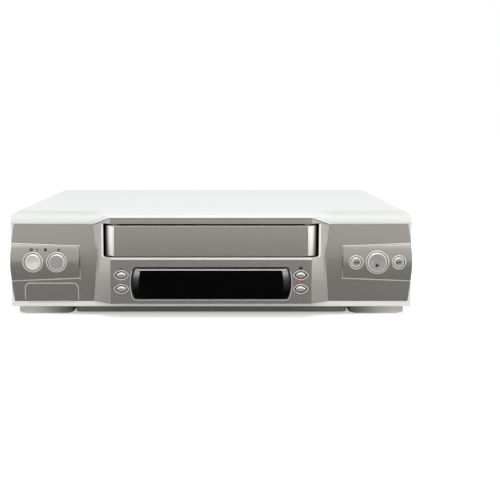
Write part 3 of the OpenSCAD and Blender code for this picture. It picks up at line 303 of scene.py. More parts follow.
class ShaderGroups:
    """Effects that several finishes share, each built once as a node group."""

    @staticmethod
    def _group(name: str, inputs: dict[str, float], outputs: dict[str, str]
               ) -> tuple[bpy.types.NodeTree, Graph, bpy.types.Node, bpy.types.Node]:
        """Starts a group with a place input, number inputs and outputs.

        Args:
            name: Name of the group.
            inputs: Default of each number input.
            outputs: Socket type of each output.

        Returns:
            The tree, its graph, and its input and output nodes.
        """
        tree = bpy.data.node_groups.new(name, "ShaderNodeTree")
        tree.interface.new_socket("Place", in_out="INPUT", socket_type="NodeSocketVector")
        for label, value in inputs.items():
            made = tree.interface.new_socket(label, in_out="INPUT", socket_type="NodeSocketFloat")
            made.default_value = value
        for label, kind in outputs.items():
            tree.interface.new_socket(label, in_out="OUTPUT", socket_type=kind)
        graph = Graph(tree)
        return tree, graph, graph.node("NodeGroupInput"), graph.node("NodeGroupOutput")

    @classmethod
    @cache
    def grain(cls) -> bpy.types.NodeTree:
        """Builds the fine moulded or sprayed texture, which puts out a normal."""
        tree, graph, given, result = cls._group(
            "surface_grain", {"Grains per metre": 2000.0, "Height": 0.00001},
            {"Normal": "NodeSocketVector"})
        fine = graph.noise(given.outputs["Place"], given.outputs["Grains per metre"], detail=3.0)
        graph.feed(result.inputs["Normal"], graph.bump(fine, given.outputs["Height"]))
        return tree

    @classmethod
    @cache
    def drift(cls) -> bpy.types.NodeTree:
        """Builds the slow and the fine change of shade, around 1."""
        tree, graph, given, result = cls._group(
            "shade_drift", {"Drift": 0.03, "Flake": 0.0, "Flakes per metre": 1200.0},
            {"Shade": "NodeSocketFloat", "Mask": "NodeSocketFloat"})
        place = given.outputs["Place"]
        slow = graph.noise(place, scale=14.0, detail=3.0)
        fine = graph.noise(place, given.outputs["Flakes per metre"], detail=1.0, blur=0.8)
        total = 1.0
        for waves, label in ((slow, "Drift"), (fine, "Flake")):
            swing = graph.math("SUBTRACT", waves, 0.5)
            total = graph.math("MULTIPLY_ADD", swing, given.outputs[label], total)
        graph.feed(result.inputs["Shade"], total)
        graph.feed(result.inputs["Mask"], slow)
        return tree

    @classmethod
    @cache
    def dust(cls) -> bpy.types.NodeTree:
        """Builds the mask of the thin film that settles on faces that look up."""
        tree, graph, given, result = cls._group(
            "dust_film", {"Amount": 0.1}, {"Mask": "NodeSocketFloat"})
        facing = graph.split(graph.node("ShaderNodeNewGeometry").outputs["Normal"])
        up = graph.math("MAXIMUM", facing.outputs["Z"], 0.0)
        patches = graph.noise(given.outputs["Place"], scale=60.0, detail=4.0, blur=0.7)
        mask = graph.math("MULTIPLY", graph.math("MULTIPLY", up, patches), given.outputs["Amount"])
        graph.feed(result.inputs["Mask"], mask)
        return tree

    @classmethod
    @cache
    def brushing(cls) -> bpy.types.NodeTree:
        """Builds long fine streaks along X, which put out a shade and a normal."""
        tree, graph, given, result = cls._group(
            "drawn_streaks", {"Streaks per metre": 3000.0, "Stretch": 0.02, "Depth": 0.00001},
            {"Shade": "NodeSocketFloat", "Normal": "NodeSocketVector"})
        scale = graph.node("ShaderNodeCombineXYZ", {0: given.outputs["Stretch"], 1: 1.0, 2: 1.0})
        stretched = graph.node("ShaderNodeVectorMath", {0: given.outputs["Place"], 1: scale.outputs[0]},
                               operation="MULTIPLY")
        lines = graph.noise(stretched.outputs[0], given.outputs["Streaks per metre"])
        graph.feed(result.inputs["Normal"], graph.bump(lines, given.outputs["Depth"]))
        graph.feed(result.inputs["Shade"], lines)
        return tree


@dataclass(frozen=True)
class Finish:
    """A moulded, painted or lacquered surface.

    Attributes:
        slot: Material slot that it belongs to.
        colour: Written colour.
        roughness: Mean roughness.
        metallic: Share of metal reflection.
        drift: Slow change of shade across the surface.
        flake: Fine change of shade.
        grain_per_metre: Waves of the texture in a metre.
        grain_height: Depth of the texture in metres.
        dust: Weight of the film on faces that look up.
        name: Name of the material where a slot has several.
        specular: Strength of the mirror reflection off its plastic.
        spread: How far the roughness changes across the surface.
    """

    slot: Slot
    colour: Colour
    roughness: float = 0.5
    metallic: float = 0.0
    drift: float = 0.03
    flake: float = 0.0
    grain_per_metre: float = 2500.0
    grain_height: float = 4e-6
    dust: float = 0.0
    name: str = ""
    specular: float = 0.5
    spread: float = 0.08

    @cache
    def material(self) -> bpy.types.Material:
        """Gives this finish's material, built at the first call."""
        made, graph = blank(bpy.data.materials, self.name or self.slot.value + "_finish")
        shader = graph.node("ShaderNodeBsdfPrincipled", {
            "Metallic": self.metallic, "Specular IOR Level": self.specular})
        graph.show(shader)
        place = graph.node("ShaderNodeTexCoord").outputs["Object"]
        self.dress(graph, shader, place)
        return made

    def group(self, graph: Graph, tree: bpy.types.NodeTree, place: bpy.types.NodeSocket,
              **values: float) -> bpy.types.Node:
        """Places a shared effect in the material.

        Args:
            graph: The material's graph.
            tree: The shared group.
            place: Socket with the place on the surface.
            values: Number inputs, with underscores for spaces.

        Returns:
            The group's node.
        """
        inputs = {label.replace("_", " "): value for label, value in values.items()}
        return graph.node("ShaderNodeGroup", {"Place": place, **inputs}, node_tree=tree)

    def base(self, graph: Graph, place: bpy.types.NodeSocket) -> object:
        """Gives the finish's own colour, before drift and dust."""
        return linear(self.colour)

    def tint(self, graph: Graph, place: bpy.types.NodeSocket, base: object
             ) -> tuple[bpy.types.NodeSocket, bpy.types.NodeSocket]:
        """Lets the colour drift, and lays the dust film on it.

        Args:
            graph: The material's graph.
            place: Socket with the place on the surface.
            base: A linear colour or a colour's socket.

        Returns:
            Sockets of the colour and of the slow drift's mask.
        """
        drift = self.group(graph, ShaderGroups.drift(), place, Drift=self.drift, Flake=self.flake)
        colour = graph.mix(1.0, base, graph.grey(drift.outputs["Shade"]), "MULTIPLY")
        if self.dust:
            film = self.group(graph, ShaderGroups.dust(), place, Amount=self.dust)
            colour = graph.mix(film.outputs["Mask"], colour, linear(DUST_COLOUR))
        return colour, drift.outputs["Mask"]

    def fed(self, graph: Graph, shader: bpy.types.Node, colour: bpy.types.NodeSocket,
            mask: bpy.types.NodeSocket, normal: bpy.types.NodeSocket) -> None:
        """Feeds the shader its three sockets.

        Args:
            graph: The material's graph.
            shader: The Principled shader.
            colour: Socket of the colour.
            mask: Socket of the slow drift's mask, which the roughness follows.
            normal: Socket of the normal.
        """
        rough = graph.math("MULTIPLY_ADD", mask, self.spread, self.roughness - self.spread / 2)
        for label, value in (("Base Color", colour), ("Roughness", rough), ("Normal", normal)):
            graph.feed(shader.inputs[label], value)

    def dress(self, graph: Graph, shader: bpy.types.Node, place: bpy.types.NodeSocket) -> None:
        """Feeds the shader its colour, roughness and normal.

        Args:
            graph: The material's graph.
            shader: The Principled shader.
            place: Socket with the place on the surface.
        """
        colour, mask = self.tint(graph, place, self.base(graph, place))
        grain = self.group(graph, ShaderGroups.grain(), place,
                           Grains_per_metre=self.grain_per_metre, Height=self.grain_height)
        self.fed(graph, shader, colour, mask, grain.outputs["Normal"])


@dataclass(frozen=True)
class Fading(Finish):
    """A finish whose colour changes with the distance from the middle along one axis; each use here paints
    light or shade into a part's colour.

    Attributes:
        far_colour: Written colour at the distance `far` and past it.
        near: Distance in metres where the change starts.
        far: Distance in metres where it ends.
        axis: Axis along which the distance is taken.
    """

    far_colour: Colour = (0.5, 0.5, 0.5)
    near: float = 0.0
    far: float = 0.1
    axis: Axis = Axis.Z

    def base(self, graph: Graph, place: bpy.types.NodeSocket) -> object:
        """Blends the two colours by distance."""
        away = graph.math("ABSOLUTE", graph.split(place).outputs[self.axis.name])
        share = graph.ramp(away, (self.near, 0.0), (self.far, 1.0))
        return graph.mix(share, linear(self.colour), linear(self.far_colour))


@dataclass(frozen=True)
class DrawnMetal(Finish):
    """Sheet or turned metal with fine streaks along X.

    Attributes:
        streaks: Change of shade between streaks.
        streak_depth: Depth of a streak in metres.
    """

    streaks: float = 0.12
    streak_depth: float = 4e-6
    spread: float = 0.1

    def dress(self, graph: Graph, shader: bpy.types.Node, place: bpy.types.NodeSocket) -> None:
        """Feeds the shader streaks of shade and of normal."""
        brushing = self.group(graph, ShaderGroups.brushing(), place, Depth=self.streak_depth)
        colour, mask = self.tint(graph, place, linear(self.colour))
        shade = graph.math("MULTIPLY_ADD", brushing.outputs["Shade"], self.streaks, 1 - self.streaks / 2)
        colour = graph.mix(1.0, colour, graph.grey(shade), "MULTIPLY")
        self.fed(graph, shader, colour, mask, brushing.outputs["Normal"])


@dataclass(frozen=True)
class Circuit(Finish):
    """A board's solder mask over its copper tracks.

    Attributes:
        track: Written colour over a track.
        pitch: Distance between tracks in metres.
        track_share: Half a track's width, as a share of the pitch.
        copper_t: Height of a track in metres.
    """

    track: Colour = (0.2, 0.45, 0.25)
    pitch: float = 0.0032
    track_share: float = 0.13
    copper_t: float = 35e-6
    spread: float = 0.1

    def dress(self, graph: Graph, shader: bpy.types.Node, place: bpy.types.NodeSocket) -> None:
        """Feeds the shader the tracks, drawn from two crossed and broken line patterns."""
        parts = graph.split(place)
        wander = graph.noise(place, scale=45.0, detail=0.0)
        step = graph.math("SNAP", graph.math("MULTIPLY", wander, 8 * self.pitch), self.pitch / 2)
        masks = []
        for across, cells_per_metre, side in (("Y", 55.0, "LESS_THAN"), ("X", 48.0, "GREATER_THAN")):
            lane = graph.math("ADD", parts.outputs[across], step)
            saw = graph.math("PINGPONG", lane, self.pitch / 2)
            line = graph.math("LESS_THAN", saw, self.pitch * self.track_share)
            cells = graph.node("ShaderNodeTexVoronoi", {"Vector": place, "Scale": cells_per_metre})
            draw = graph.node("ShaderNodeSeparateColor", {0: cells.outputs["Color"]})
            masks.append(graph.math("MULTIPLY", line, graph.math(side, draw.outputs[0], 0.5)))
        track = graph.math("MAXIMUM", *masks)
        base = graph.mix(track, linear(self.colour), linear(self.track))
        self.fed(graph, shader, *self.tint(graph, place, base), graph.bump(track, self.copper_t))


@dataclass(frozen=True)
class Laminated(Finish):
    """A stack of thin varnished sheets.

    Attributes:
        sheet: Thickness of one sheet in metres.
        groove: Depth of the groove between two sheets in metres.
        varnish: Written colour in the grooves.
    """

    sheet: float = 0.0005
    groove: float = 60e-6
    varnish: Colour = (0.06, 0.05, 0.05)
    spread: float = 0.1

    def dress(self, graph: Graph, shader: bpy.types.Node, place: bpy.types.NodeSocket) -> None:
        """Feeds the shader the edges of the sheets, stacked along Z."""
        saw = graph.math("PINGPONG", graph.split(place).outputs["Z"], self.sheet / 2)
        edge = graph.math("DIVIDE", saw, self.sheet / 2)
        colour, mask = self.tint(graph, place, linear(self.colour))
        dark = graph.mix(graph.math("MULTIPLY", edge, 0.5), colour, linear(self.varnish))
        self.fed(graph, shader, dark, mask, graph.bump(edge, self.groove))


@dataclass(frozen=True)
class Clear(Finish):
    """Glass that lets light through."""

    def dress(self, graph: Graph, shader: bpy.types.Node, place: bpy.types.NodeSocket) -> None:
        """Feeds the shader a faint change of tint over plain glass."""
        colour, _ = self.tint(graph, place, linear(self.colour))
        for label, value in (("Base Color", colour), ("Roughness", self.roughness),
                             ("Transmission Weight", 0.85), ("IOR", 1.5)):
            graph.feed(shader.inputs[label], value)


PAINT = Finish(Slot.COVER, (0.945, 0.955, 0.95), 0.5, drift=0.012, grain_per_metre=1800,
               grain_height=9e-6, dust=0.02)
PALE = Finish(Slot.PALE, (0.935, 0.943, 0.938), 0.4, drift=0.01, grain_per_metre=2600, grain_height=4e-6)
SILVER = Finish(Slot.SILVER, (0.84, 0.825, 0.795), 0.22, 0.8, drift=0.03, flake=0.06, grain_height=2e-6)
KEY = Finish(Slot.KEY, (0.88, 0.87, 0.85), 0.26, 0.7, drift=0.02, flake=0.05, grain_height=2e-6)
WINDOW = Finish(Slot.WINDOW, (0.025, 0.025, 0.03), 0.1, drift=0.2, grain_per_metre=120,
                grain_height=4e-6, specular=0.12)
TUBE = Clear(Slot.TUBE, (0.32, 0.36, 0.36), 0.06)
GOLD = DrawnMetal(Slot.GOLD, (0.86, 0.7, 0.36), 0.24, 1.0)
GREY = Finish(Slot.GREY, (0.29, 0.29, 0.3), 0.55, grain_height=8e-6, dust=0.15)
BLACK = Finish(Slot.BLACK, (0.075, 0.075, 0.08), 0.5, grain_height=7e-6, dust=0.08)
WHITE = Finish(Slot.WHITE, (0.88, 0.87, 0.83), 0.38, grain_height=3e-6)
BOARD = Circuit(Slot.BOARD, (0.11, 0.3, 0.16), 0.35, track=(0.2, 0.44, 0.22))
PAPER = Circuit(Slot.PAPER, (0.62, 0.47, 0.27), 0.55, track=(0.72, 0.55, 0.3), pitch=0.0045)
ZINC = DrawnMetal(Slot.ZINC, (0.7, 0.71, 0.71), 0.34, 1.0, drift=0.06, dust=0.08)
SCREW = DrawnMetal(Slot.SCREW, (0.66, 0.66, 0.66), 0.26, 1.0)
CORE = Laminated(Slot.CORE, (0.24, 0.23, 0.23), 0.5, 0.4)
SLEEVE = Finish(Slot.SLEEVE, (0.09, 0.11, 0.26), 0.22, grain_height=2e-6)
ALUMINIUM = DrawnMetal(Slot.ALUMINIUM, (0.84, 0.85, 0.86), 0.28, 1.0)
CAN = DrawnMetal(Slot.CAN, (0.74, 0.74, 0.75), 0.25, 1.0)
BRONZE = DrawnMetal(Slot.BRONZE, (0.7, 0.54, 0.3), 0.36, 1.0)
# Silver of the front feet, darker towards the middle and light at the outer ends: painted shade and painted
# highlight.
FOOT = Fading(Slot.FOOT, (0.5, 0.48, 0.43), 0.3, 0.35, grain_height=2e-6, far_colour=(0.9, 0.885, 0.84),
              near=134 * MM, far=176 * MM, axis=Axis.X)
# Steel of the bottom plate, toned darker and warmer as painted shade for its band under the front lip.
PAN_PAINTED_SHADE = Finish(Slot.ZINC, (0.46, 0.44, 0.39), 0.45, 0.2, grain_height=2e-6, name="pan_steel_painted_shade")
RUBBER = Finish(Slot.RUBBER, (0.06, 0.06, 0.06), 0.75, grain_per_metre=1500, grain_height=12e-6)
# Lighter, less metallic silver of the beads, rings and dots, whose raised shape is partly real: a painted
# highlight on their edges.
EDGE_PAINTED_HIGHLIGHT = Finish(Slot.SILVER, (0.93, 0.925, 0.91), 0.24, 0.35, name="painted_highlight_edge", grain_height=1e-6)
# Near-white silver of the rim round the cassette opening: a painted highlight.
RIM_PAINTED_HIGHLIGHT = Finish(Slot.SILVER, (0.965, 0.96, 0.95), 0.3, 0.1, name="rim_painted_highlight", grain_height=1e-6)
# Silver of the door, darkening towards its hollow ends as painted shade.
DOOR_PAINTED_SHADE = Fading(Slot.SILVER, (0.84, 0.825, 0.795), 0.22, 0.8, flake=0.06, grain_height=2e-6, name="door_silver_painted_shade",
              far_colour=(0.2, 0.195, 0.185), near=94.5 * MM, far=98.6 * MM, axis=Axis.X)
# Copy of the silver for the slanting facets, light at the foot and darker upwards: painted light.
FACET_PAINTED_LIGHT = Fading(Slot.SILVER, (0.95, 0.935, 0.91), 0.24, 0.75, flake=0.05, grain_height=2e-6,
               name="facet_painted_light", far_colour=(0.61, 0.607, 0.595), near=15 * MM, far=82 * MM)
# Smoked glass of the window's bevel, lightening upwards as a painted reflection.
BEVEL_GLASS_PAINTED_REFLECTION = Fading(Slot.WINDOW, (0.1, 0.1, 0.11), 0.16, 0.8, name="bevel_glass_painted_reflection", grain_height=1e-6,
                     far_colour=(0.56, 0.56, 0.58), near=24 * MM, far=47 * MM)
# Pale plastic of the front frame, a little darker towards its ends as painted shade.
FRAME_PAINTED_SHADE = Fading(Slot.PALE, (0.935, 0.943, 0.938), 0.4, drift=0.01, grain_per_metre=2600, grain_height=4e-6,
               name="frame_plastic_painted_shade", far_colour=(0.88, 0.886, 0.88), near=98 * MM, far=120 * MM, axis=Axis.X)
# Lighter, less metallic copy of the key finish for a deeply dished cap: a painted highlight.
DISHED_PAINTED_HIGHLIGHT = Finish(Slot.KEY, (0.92, 0.91, 0.89), 0.3, 0.4, drift=0.02, grain_height=2e-6, name="dished_key_painted_highlight")
INK = Finish(Slot.BLACK, (0.08, 0.085, 0.1), 0.5, name="dark_ink", grain_height=1e-6)
RED_INK = Finish(Slot.BLACK, (0.83, 0.1, 0.13), 0.45, name="red_ink", grain_height=1e-6)
RED_PLASTIC = Finish(Slot.WHITE, (0.72, 0.1, 0.1), 0.35, name="red_plastic", grain_height=3e-6)
COPPER = DrawnMetal(Slot.BRONZE, (0.72, 0.42, 0.26), 0.35, 0.9, name="enamelled_copper")
TAPE = Finish(Slot.CORE, (0.82, 0.66, 0.24), 0.4, name="winding_tape", grain_height=3e-6)
# Near-black sheets and beads in gaps, wells, grooves and behind the door's ends: painted shadow.
SHADOW = Finish(Slot.BLACK, (0.03, 0.03, 0.03), 0.8, name="painted_shadow", grain_height=1e-6)
FINISHES = {
    f.slot.value: f for f in (
        PAINT, PALE, SILVER, KEY, WINDOW, TUBE, GOLD, GREY, BLACK, WHITE, BOARD, PAPER, ZINC, SCREW,
        CORE, SLEEVE, ALUMINIUM, CAN, BRONZE, FOOT, RUBBER)
}


def rounded(x: float, z: float, half_x: float, half_z: float, radius: float, steps: int = 6
            ) -> list[Point]:
    """Gives the outline of a rectangle with round corners.

    Args:
        x: Its middle.
        z: Its middle.
        half_x: Half its width.
        half_z: Half its height.
        radius: Radius of its corners.
        steps: Faces round a corner.

    Returns:
        Its corners in order, counter-clockwise from the lower right.
    """
    outline = []
    for quarter, (side, level) in enumerate(((1, -1), (1, 1), (-1, 1), (-1, -1))):
        for k in range(steps + 1):
            turn = math.radians(90 * (quarter - 1 + k / steps))
            outline.append((x + side * (half_x - radius) + radius * math.cos(turn),
                            z + level * (half_z - radius) + radius * math.sin(turn)))
    return outline


def disc(x: float, z: float, radius: float, steps: int = 48) -> list[Point]:
    """Gives the outline of a circle about (x, z), counter-clockwise."""
    turns = (2 * math.pi * k / steps for k in range(steps))
    return [(x + radius * math.cos(t), z + radius * math.sin(t)) for t in turns]


def lens(x: float, z: float, length: float, height: float, steps: int = 14) -> list[Point]:
    """Gives the outline of an almond made of two arcs, with blunted tips.

    Args:
        x: Its middle.
        z: Its middle.
        length: Distance between its tips.
        height: Its height.
        steps: Faces along one arc.

    Returns:
        Its corners in order, counter-clockwise from the right tip.
    """
    half, rise = length / 2, height / 2
    outline = []
    for side in (1, -1):
        for k in range(steps):
            along = math.cos(math.pi * k / steps)
            lift = (1 - along * along) ** 0.8
            outline.append((x + side * half * along, z + side * rise * lift))
    return outline


def arc(x: float, z: float, radius: float, start: float, end: float, steps: int = 8) -> list[Point]:
    """Gives points of an arc between two angles in degrees.

    Args:
        x: Its centre.
        z: Its centre.
        radius: Its radius.
        start: First angle.
        end: Last angle.
        steps: Faces along it.

    Returns:
        Its points in order.
    """
    turns = (math.radians(start + (end - start) * k / steps) for k in range(steps + 1))
    return [(x + radius * math.cos(t), z + radius * math.sin(t)) for t in turns]


def rod(radius: float, start: float, end: float) -> list[Point]:
    """Gives the profile of a plain rod between two places on its axis."""
    return [(0.0, start), (radius, start), (radius, end), (0.0, end)]


def ring(inner: float, outer: float, start: float, end: float) -> list[Point]:
    """Gives the profile of a plain ring between two places on its axis."""
    return [(inner, start), (outer, start), (outer, end), (inner, end), (inner, start)]


def linked(name: str, data: bpy.types.ID) -> bpy.types.Object:
    """Makes an object of a mesh, a lamp or a camera and puts it in the scene."""
    made = bpy.data.objects.new(name, data)
    bpy.context.scene.collection.objects.link(made)
    return made


def placed(name: str, mesh: bmesh.types.BMesh) -> bpy.types.Object:
    """Makes an object of a mesh in the making, which ends there."""
    data = bpy.data.meshes.new(name)
    mesh.to_mesh(data)
    mesh.free()
    return linked(name, data)


class Shape:
    """A mesh in the making, in metres from the wing plane, that becomes one piece."""

    def __init__(self) -> None:
        """Starts with nothing in it."""
        self.mesh = bmesh.new()

    def face(self, corners: Iterable[Sequence[float]]) -> None:
        """Adds one face.

        Args:
            corners: Its corners in order, in metres.
        """
        made = [self.mesh.verts.new(c) for c in corners]
        self.mesh.faces.new(made)

    def bands(self, rows: Sequence[Sequence[bmesh.types.BMVert]]) -> None:
        """Joins closed rows of corners, one after the other, with bands of faces."""
        for low, high in zip(rows, rows[1:]):
            for i in range(len(low)):
                j = (i + 1) % len(low)
                self.mesh.faces.new((low[i], low[j], high[j], high[i]))

    def strip(self, loops: Iterable[Iterable[Sequence[float]]], caps: tuple[bool, bool] = (True, True)
              ) -> None:
        """Joins closed loops of corners, one after the other, and closes the ends.

        Args:
            loops: Loops with as many corners each, in metres.
            caps: Whether the first and the last loop get a face.
        """
        rows = [[self.mesh.verts.new(c) for c in loop] for loop in loops]
        self.bands(rows)
        for row, wanted in zip((rows[0], rows[-1]), caps):
            if wanted:
                self.mesh.faces.new(row)

    def stack(self, outlines: Sequence[Sequence[Point]], depths: Sequence[float],
              caps: tuple[bool, bool] = (True, True)) -> None:
        """Stacks front view outlines at rising depths and closes the ends.

        Args:
            outlines: Loops of (x, z) in metres with as many corners each.
            depths: Depth of each loop, in metres from the wing plane.
            caps: Whether the first and the last loop get a face.
        """
        self.strip([[(x, WING_PLANE + y, z) for x, z in outline] for outline, y in zip(outlines, depths)],
                   caps)

    def cover(self, outlines: Sequence[Sequence[Point]], lifts: Sequence[float],
              depth: Callable[[float, float], float], caps: tuple[bool, bool] = (False, False)) -> None:
        """Lays loops of corners over a surface, each raised from it, and joins them.

        Args:
            outlines: Loops of (x, z) in metres with as many corners each.
            lifts: How far each loop stands out of the surface, in metres.
            depth: Depth of the surface at (x, z), in metres from the wing plane.
            caps: Whether the first and the last loop get a face.
        """
        self.strip([[(x, WING_PLANE + depth(x, z) - lift, z) for x, z in outline]
                    for outline, lift in zip(outlines, lifts)], caps)

    def bead(self, path: Sequence[Point], width: float, lift: float,
             depth: Callable[[float, float], float], closed: bool = False) -> None:
        """Lays a half-round bead along a path on a surface.

        Args:
            path: Points (x, z) of its middle, in metres.
            width: Its width in metres.
            lift: How far it stands out of the surface, in metres.
            depth: Depth of the surface at (x, z), in metres from the wing plane.
            closed: Whether the path joins its own start.
        """
        foot = -BEAD_SUNK / lift
        sections = ((-1.0, foot), (-0.9, 0.35), (-0.5, 0.9), (0.5, 0.9), (0.9, 0.35), (1.0, foot))
        points = [Vector(p) for p in path]
        count = len(points)
        rows = []
        for i, point in enumerate(points):
            before = points[(i - 1) % count] if closed or i else point
            after = points[(i + 1) % count] if closed or i < count - 1 else point
            along = (after - before).normalized()
            inward = (point - before).normalized() if point != before else along
            across = Vector((-along.y, along.x))
            width_here = width / 2 / max(0.5, abs(across.dot(Vector((-inward.y, inward.x)))))
            row = []
            for side, height in sections:
                x, z = point + across * (side * width_here)
                row.append(self.mesh.verts.new((x, WING_PLANE + depth(x, z) - lift * height, z)))
            rows.append(row)
        if closed:
            rows.append(rows[0])
        self.bands(rows)
        if not closed:
            self.mesh.faces.new(rows[0])
            self.mesh.faces.new(rows[-1])

    def lathe(self, profile: Sequence[Point], centre: Sequence[float], axis: Axis = Axis.Y,
              steps: int = 64) -> None:
        """Turns a profile about an axis; points on the axis close it.

        Args:
            profile: (radius, distance along the axis) in metres.
            centre: Point on the axis from which distances are counted, in metres.
            axis: Direction of the axis.
            steps: Corners round the axis.
        """
        middle = Vector(centre)
        rows = []
        for radius, along in profile:
            row = []
            for i in range(steps if radius > 1e-7 else 1):
                turn = 2 * math.pi * i / steps
                c, s = radius * math.cos(turn), radius * math.sin(turn)
                offset = {Axis.X: (along, c, s), Axis.Y: (c, along, s), Axis.Z: (c, s, along)}[axis]
                row.append(self.mesh.verts.new(middle + Vector(offset)))
            rows.append(row)
        for low, high in zip(rows, rows[1:]):
            for i in range(steps):
                j = (i + 1) % steps
                corners = [low[i % len(low)], low[j % len(low)], high[j % len(high)], high[i % len(high)]]
                unique = list(dict.fromkeys(corners))
                if len(unique) > 2:
                    self.mesh.faces.new(unique)

    def box(self, low: Sequence[float], high: Sequence[float]) -> None:
        """Adds a block between two corners.

        Args:
            low: Lowest corner in metres.
            high: Highest corner in metres.
        """
        made = bmesh.ops.create_cube(self.mesh, size=1.0)["verts"]
        for corner in made:
            for k in range(3):
                corner.co[k] = low[k] if corner.co[k] < 0 else high[k]

    def pair(self, span: Point, low: Point, high: Point) -> None:
        """Adds a block on each side of the recorder's middle.

        Args:
            span: Least and greatest distance from the middle, in metres.
            low: Depth from the wing plane and level of the lowest corner, in metres.
            high: Depth from the wing plane and level of the highest corner, in metres.
        """
        for side in (-1, 1):
            near, far = sorted((side * span[0], side * span[1]))
            self.box((near, WING_PLANE + low[0], low[1]), (far, WING_PLANE + high[0], high[1]))

    def piece(self, name: str, finish: Finish, body: str = "root", stands_for: Sequence[str] = (),
              bevel: float = 0.0, angle: float = 32.0) -> bpy.types.Object:
        """Makes the object of this shape.

        Args:
            name: Name of the piece.
            finish: Finish of the whole piece.
            body: Body that it rides on.
            stands_for: Nodes that it replaces.
            bevel: Width of the rounded edges in metres.
            angle: Angle in degrees past which an edge is sharp.

        Returns:
            The object, riding on its body.
        """
        bmesh.ops.remove_doubles(self.mesh, verts=self.mesh.verts, dist=1e-7)
        bmesh.ops.recalc_face_normals(self.mesh, faces=self.mesh.faces)
        made = placed(name, self.mesh)
        made.data.materials.append(finish.material())
        return settled(made, body, stands_for, bevel, angle)


def settled(piece: bpy.types.Object, body: str, stands_for: Sequence[str] = (),
            bevel: float = 0.0, angle: float = 32.0, even: bool = False) -> bpy.types.Object:
    """Rounds the sharp edges of a piece, shades it smooth and puts it on its body.

    Args:
        piece: The object.
        body: Body that it rides on.
        stands_for: Nodes that it replaces.
        bevel: Width of the rounded edges in metres.
        angle: Angle in degrees past which an edge is sharp.
        even: Whether flat faces rule the shading although no edge is rounded.

    Returns:
        The same object.
    """
    data = piece.data
    for face in data.polygons:
        face.use_smooth = True
    data.set_sharp_from_angle(angle=math.radians(angle))
    if bevel:
        rounding = piece.modifiers.new("rounded_edges", "BEVEL")
        rounding.width = bevel
        rounding.segments = EDGE_FACES
        rounding.limit_method = "ANGLE"
        rounding.angle_limit = math.radians(angle)
        rounding.use_clamp_overlap = False
        rounding.mark_sharp = False
    if bevel or even:
        shading = piece.modifiers.new("even_shading", "WEIGHTED_NORMAL")
        shading.keep_sharp = not bevel
        shading.weight = FLAT_WEIGHT
        plain = bpy.data.meshes.new_from_object(
            piece.evaluated_get(bpy.context.evaluated_depsgraph_get()))
        piece.modifiers.clear()
        piece.data = plain
        bpy.data.meshes.remove(data)
        plain.name = piece.name
    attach(piece, body)
    if stands_for:
        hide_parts(*stands_for)
    LOG.info("%s: %s", body, piece.name)
    return piece


def softened(node: str, width: float = 0.25 * MM, finish: Finish | None = None, angle: float = 32.0,
             facets: Finish | None = None) -> bpy.types.Object:
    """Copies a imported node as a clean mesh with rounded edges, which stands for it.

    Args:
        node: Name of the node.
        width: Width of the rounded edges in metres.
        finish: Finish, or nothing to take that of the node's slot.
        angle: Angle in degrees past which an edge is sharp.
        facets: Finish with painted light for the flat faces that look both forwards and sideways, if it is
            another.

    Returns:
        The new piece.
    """
    source = frame["nodes"][node]
    look = finish or FINISHES[slot_of(node)]
    shape = bmesh.new()
    shape.from_mesh(source.data)
    bmesh.ops.remove_doubles(shape, verts=shape.verts, dist=2e-6)
    bmesh.ops.dissolve_limit(shape, angle_limit=math.radians(0.4), verts=shape.verts, edges=shape.edges)
    bmesh.ops.recalc_face_normals(shape, faces=shape.faces)
    made = placed(node + "_body", shape)
    made.data.materials.append(look.material())
    # Faces that look both sideways and forwards take the facets' painted light.
    if facets:
        made.data.materials.append(facets.material())
        for face in made.data.polygons:
            face.material_index = int(min(abs(face.normal.x), -face.normal.y) > LEAN)
    return settled(made, source["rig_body"], (node,), width, angle, even=True)


def softened_set(widths: Sequence[tuple[str, float]], angle: float = 32.0,
                 looks: Mapping[str, Finish] | None = None) -> None:
    """Softens several nodes.

    Args:
        widths: Each node with the width of its rounded edges in metres.
        angle: Angle in degrees past which an edge is sharp.
        looks: Finish of the nodes that don't take that of their slot.
    """
    for node, width in widths:
        softened(node, width, (looks or {}).get(node), angle=angle)


def slot_of(node: str) -> str:
    """Gives the name of the material slot that the record puts on a node."""
    return next(s["material_slot"] for s in frame["record"]["subparts"] if s["node"] == node)


def dressed(node: str) -> None:
    """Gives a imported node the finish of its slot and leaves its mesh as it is."""
    materials = frame["nodes"][node].data.materials
    materials.clear()
    materials.append(FINISHES[slot_of(node)].material())


@dataclass(frozen=True)
class SoftBox:
    """One lamp of the studio.

    Attributes:
        name: Its name.
        place: Where it hangs, in metres.
        size: Its width and height in metres.
        power: Its power in watts.
        colour: Colour of its light.
        mirrored: Whether glossy faces show it.
    """

    name: str
    place: Place
    size: Point
    power: float
    colour: Colour = (1.0, 1.0, 1.0)
    mirrored: bool = True


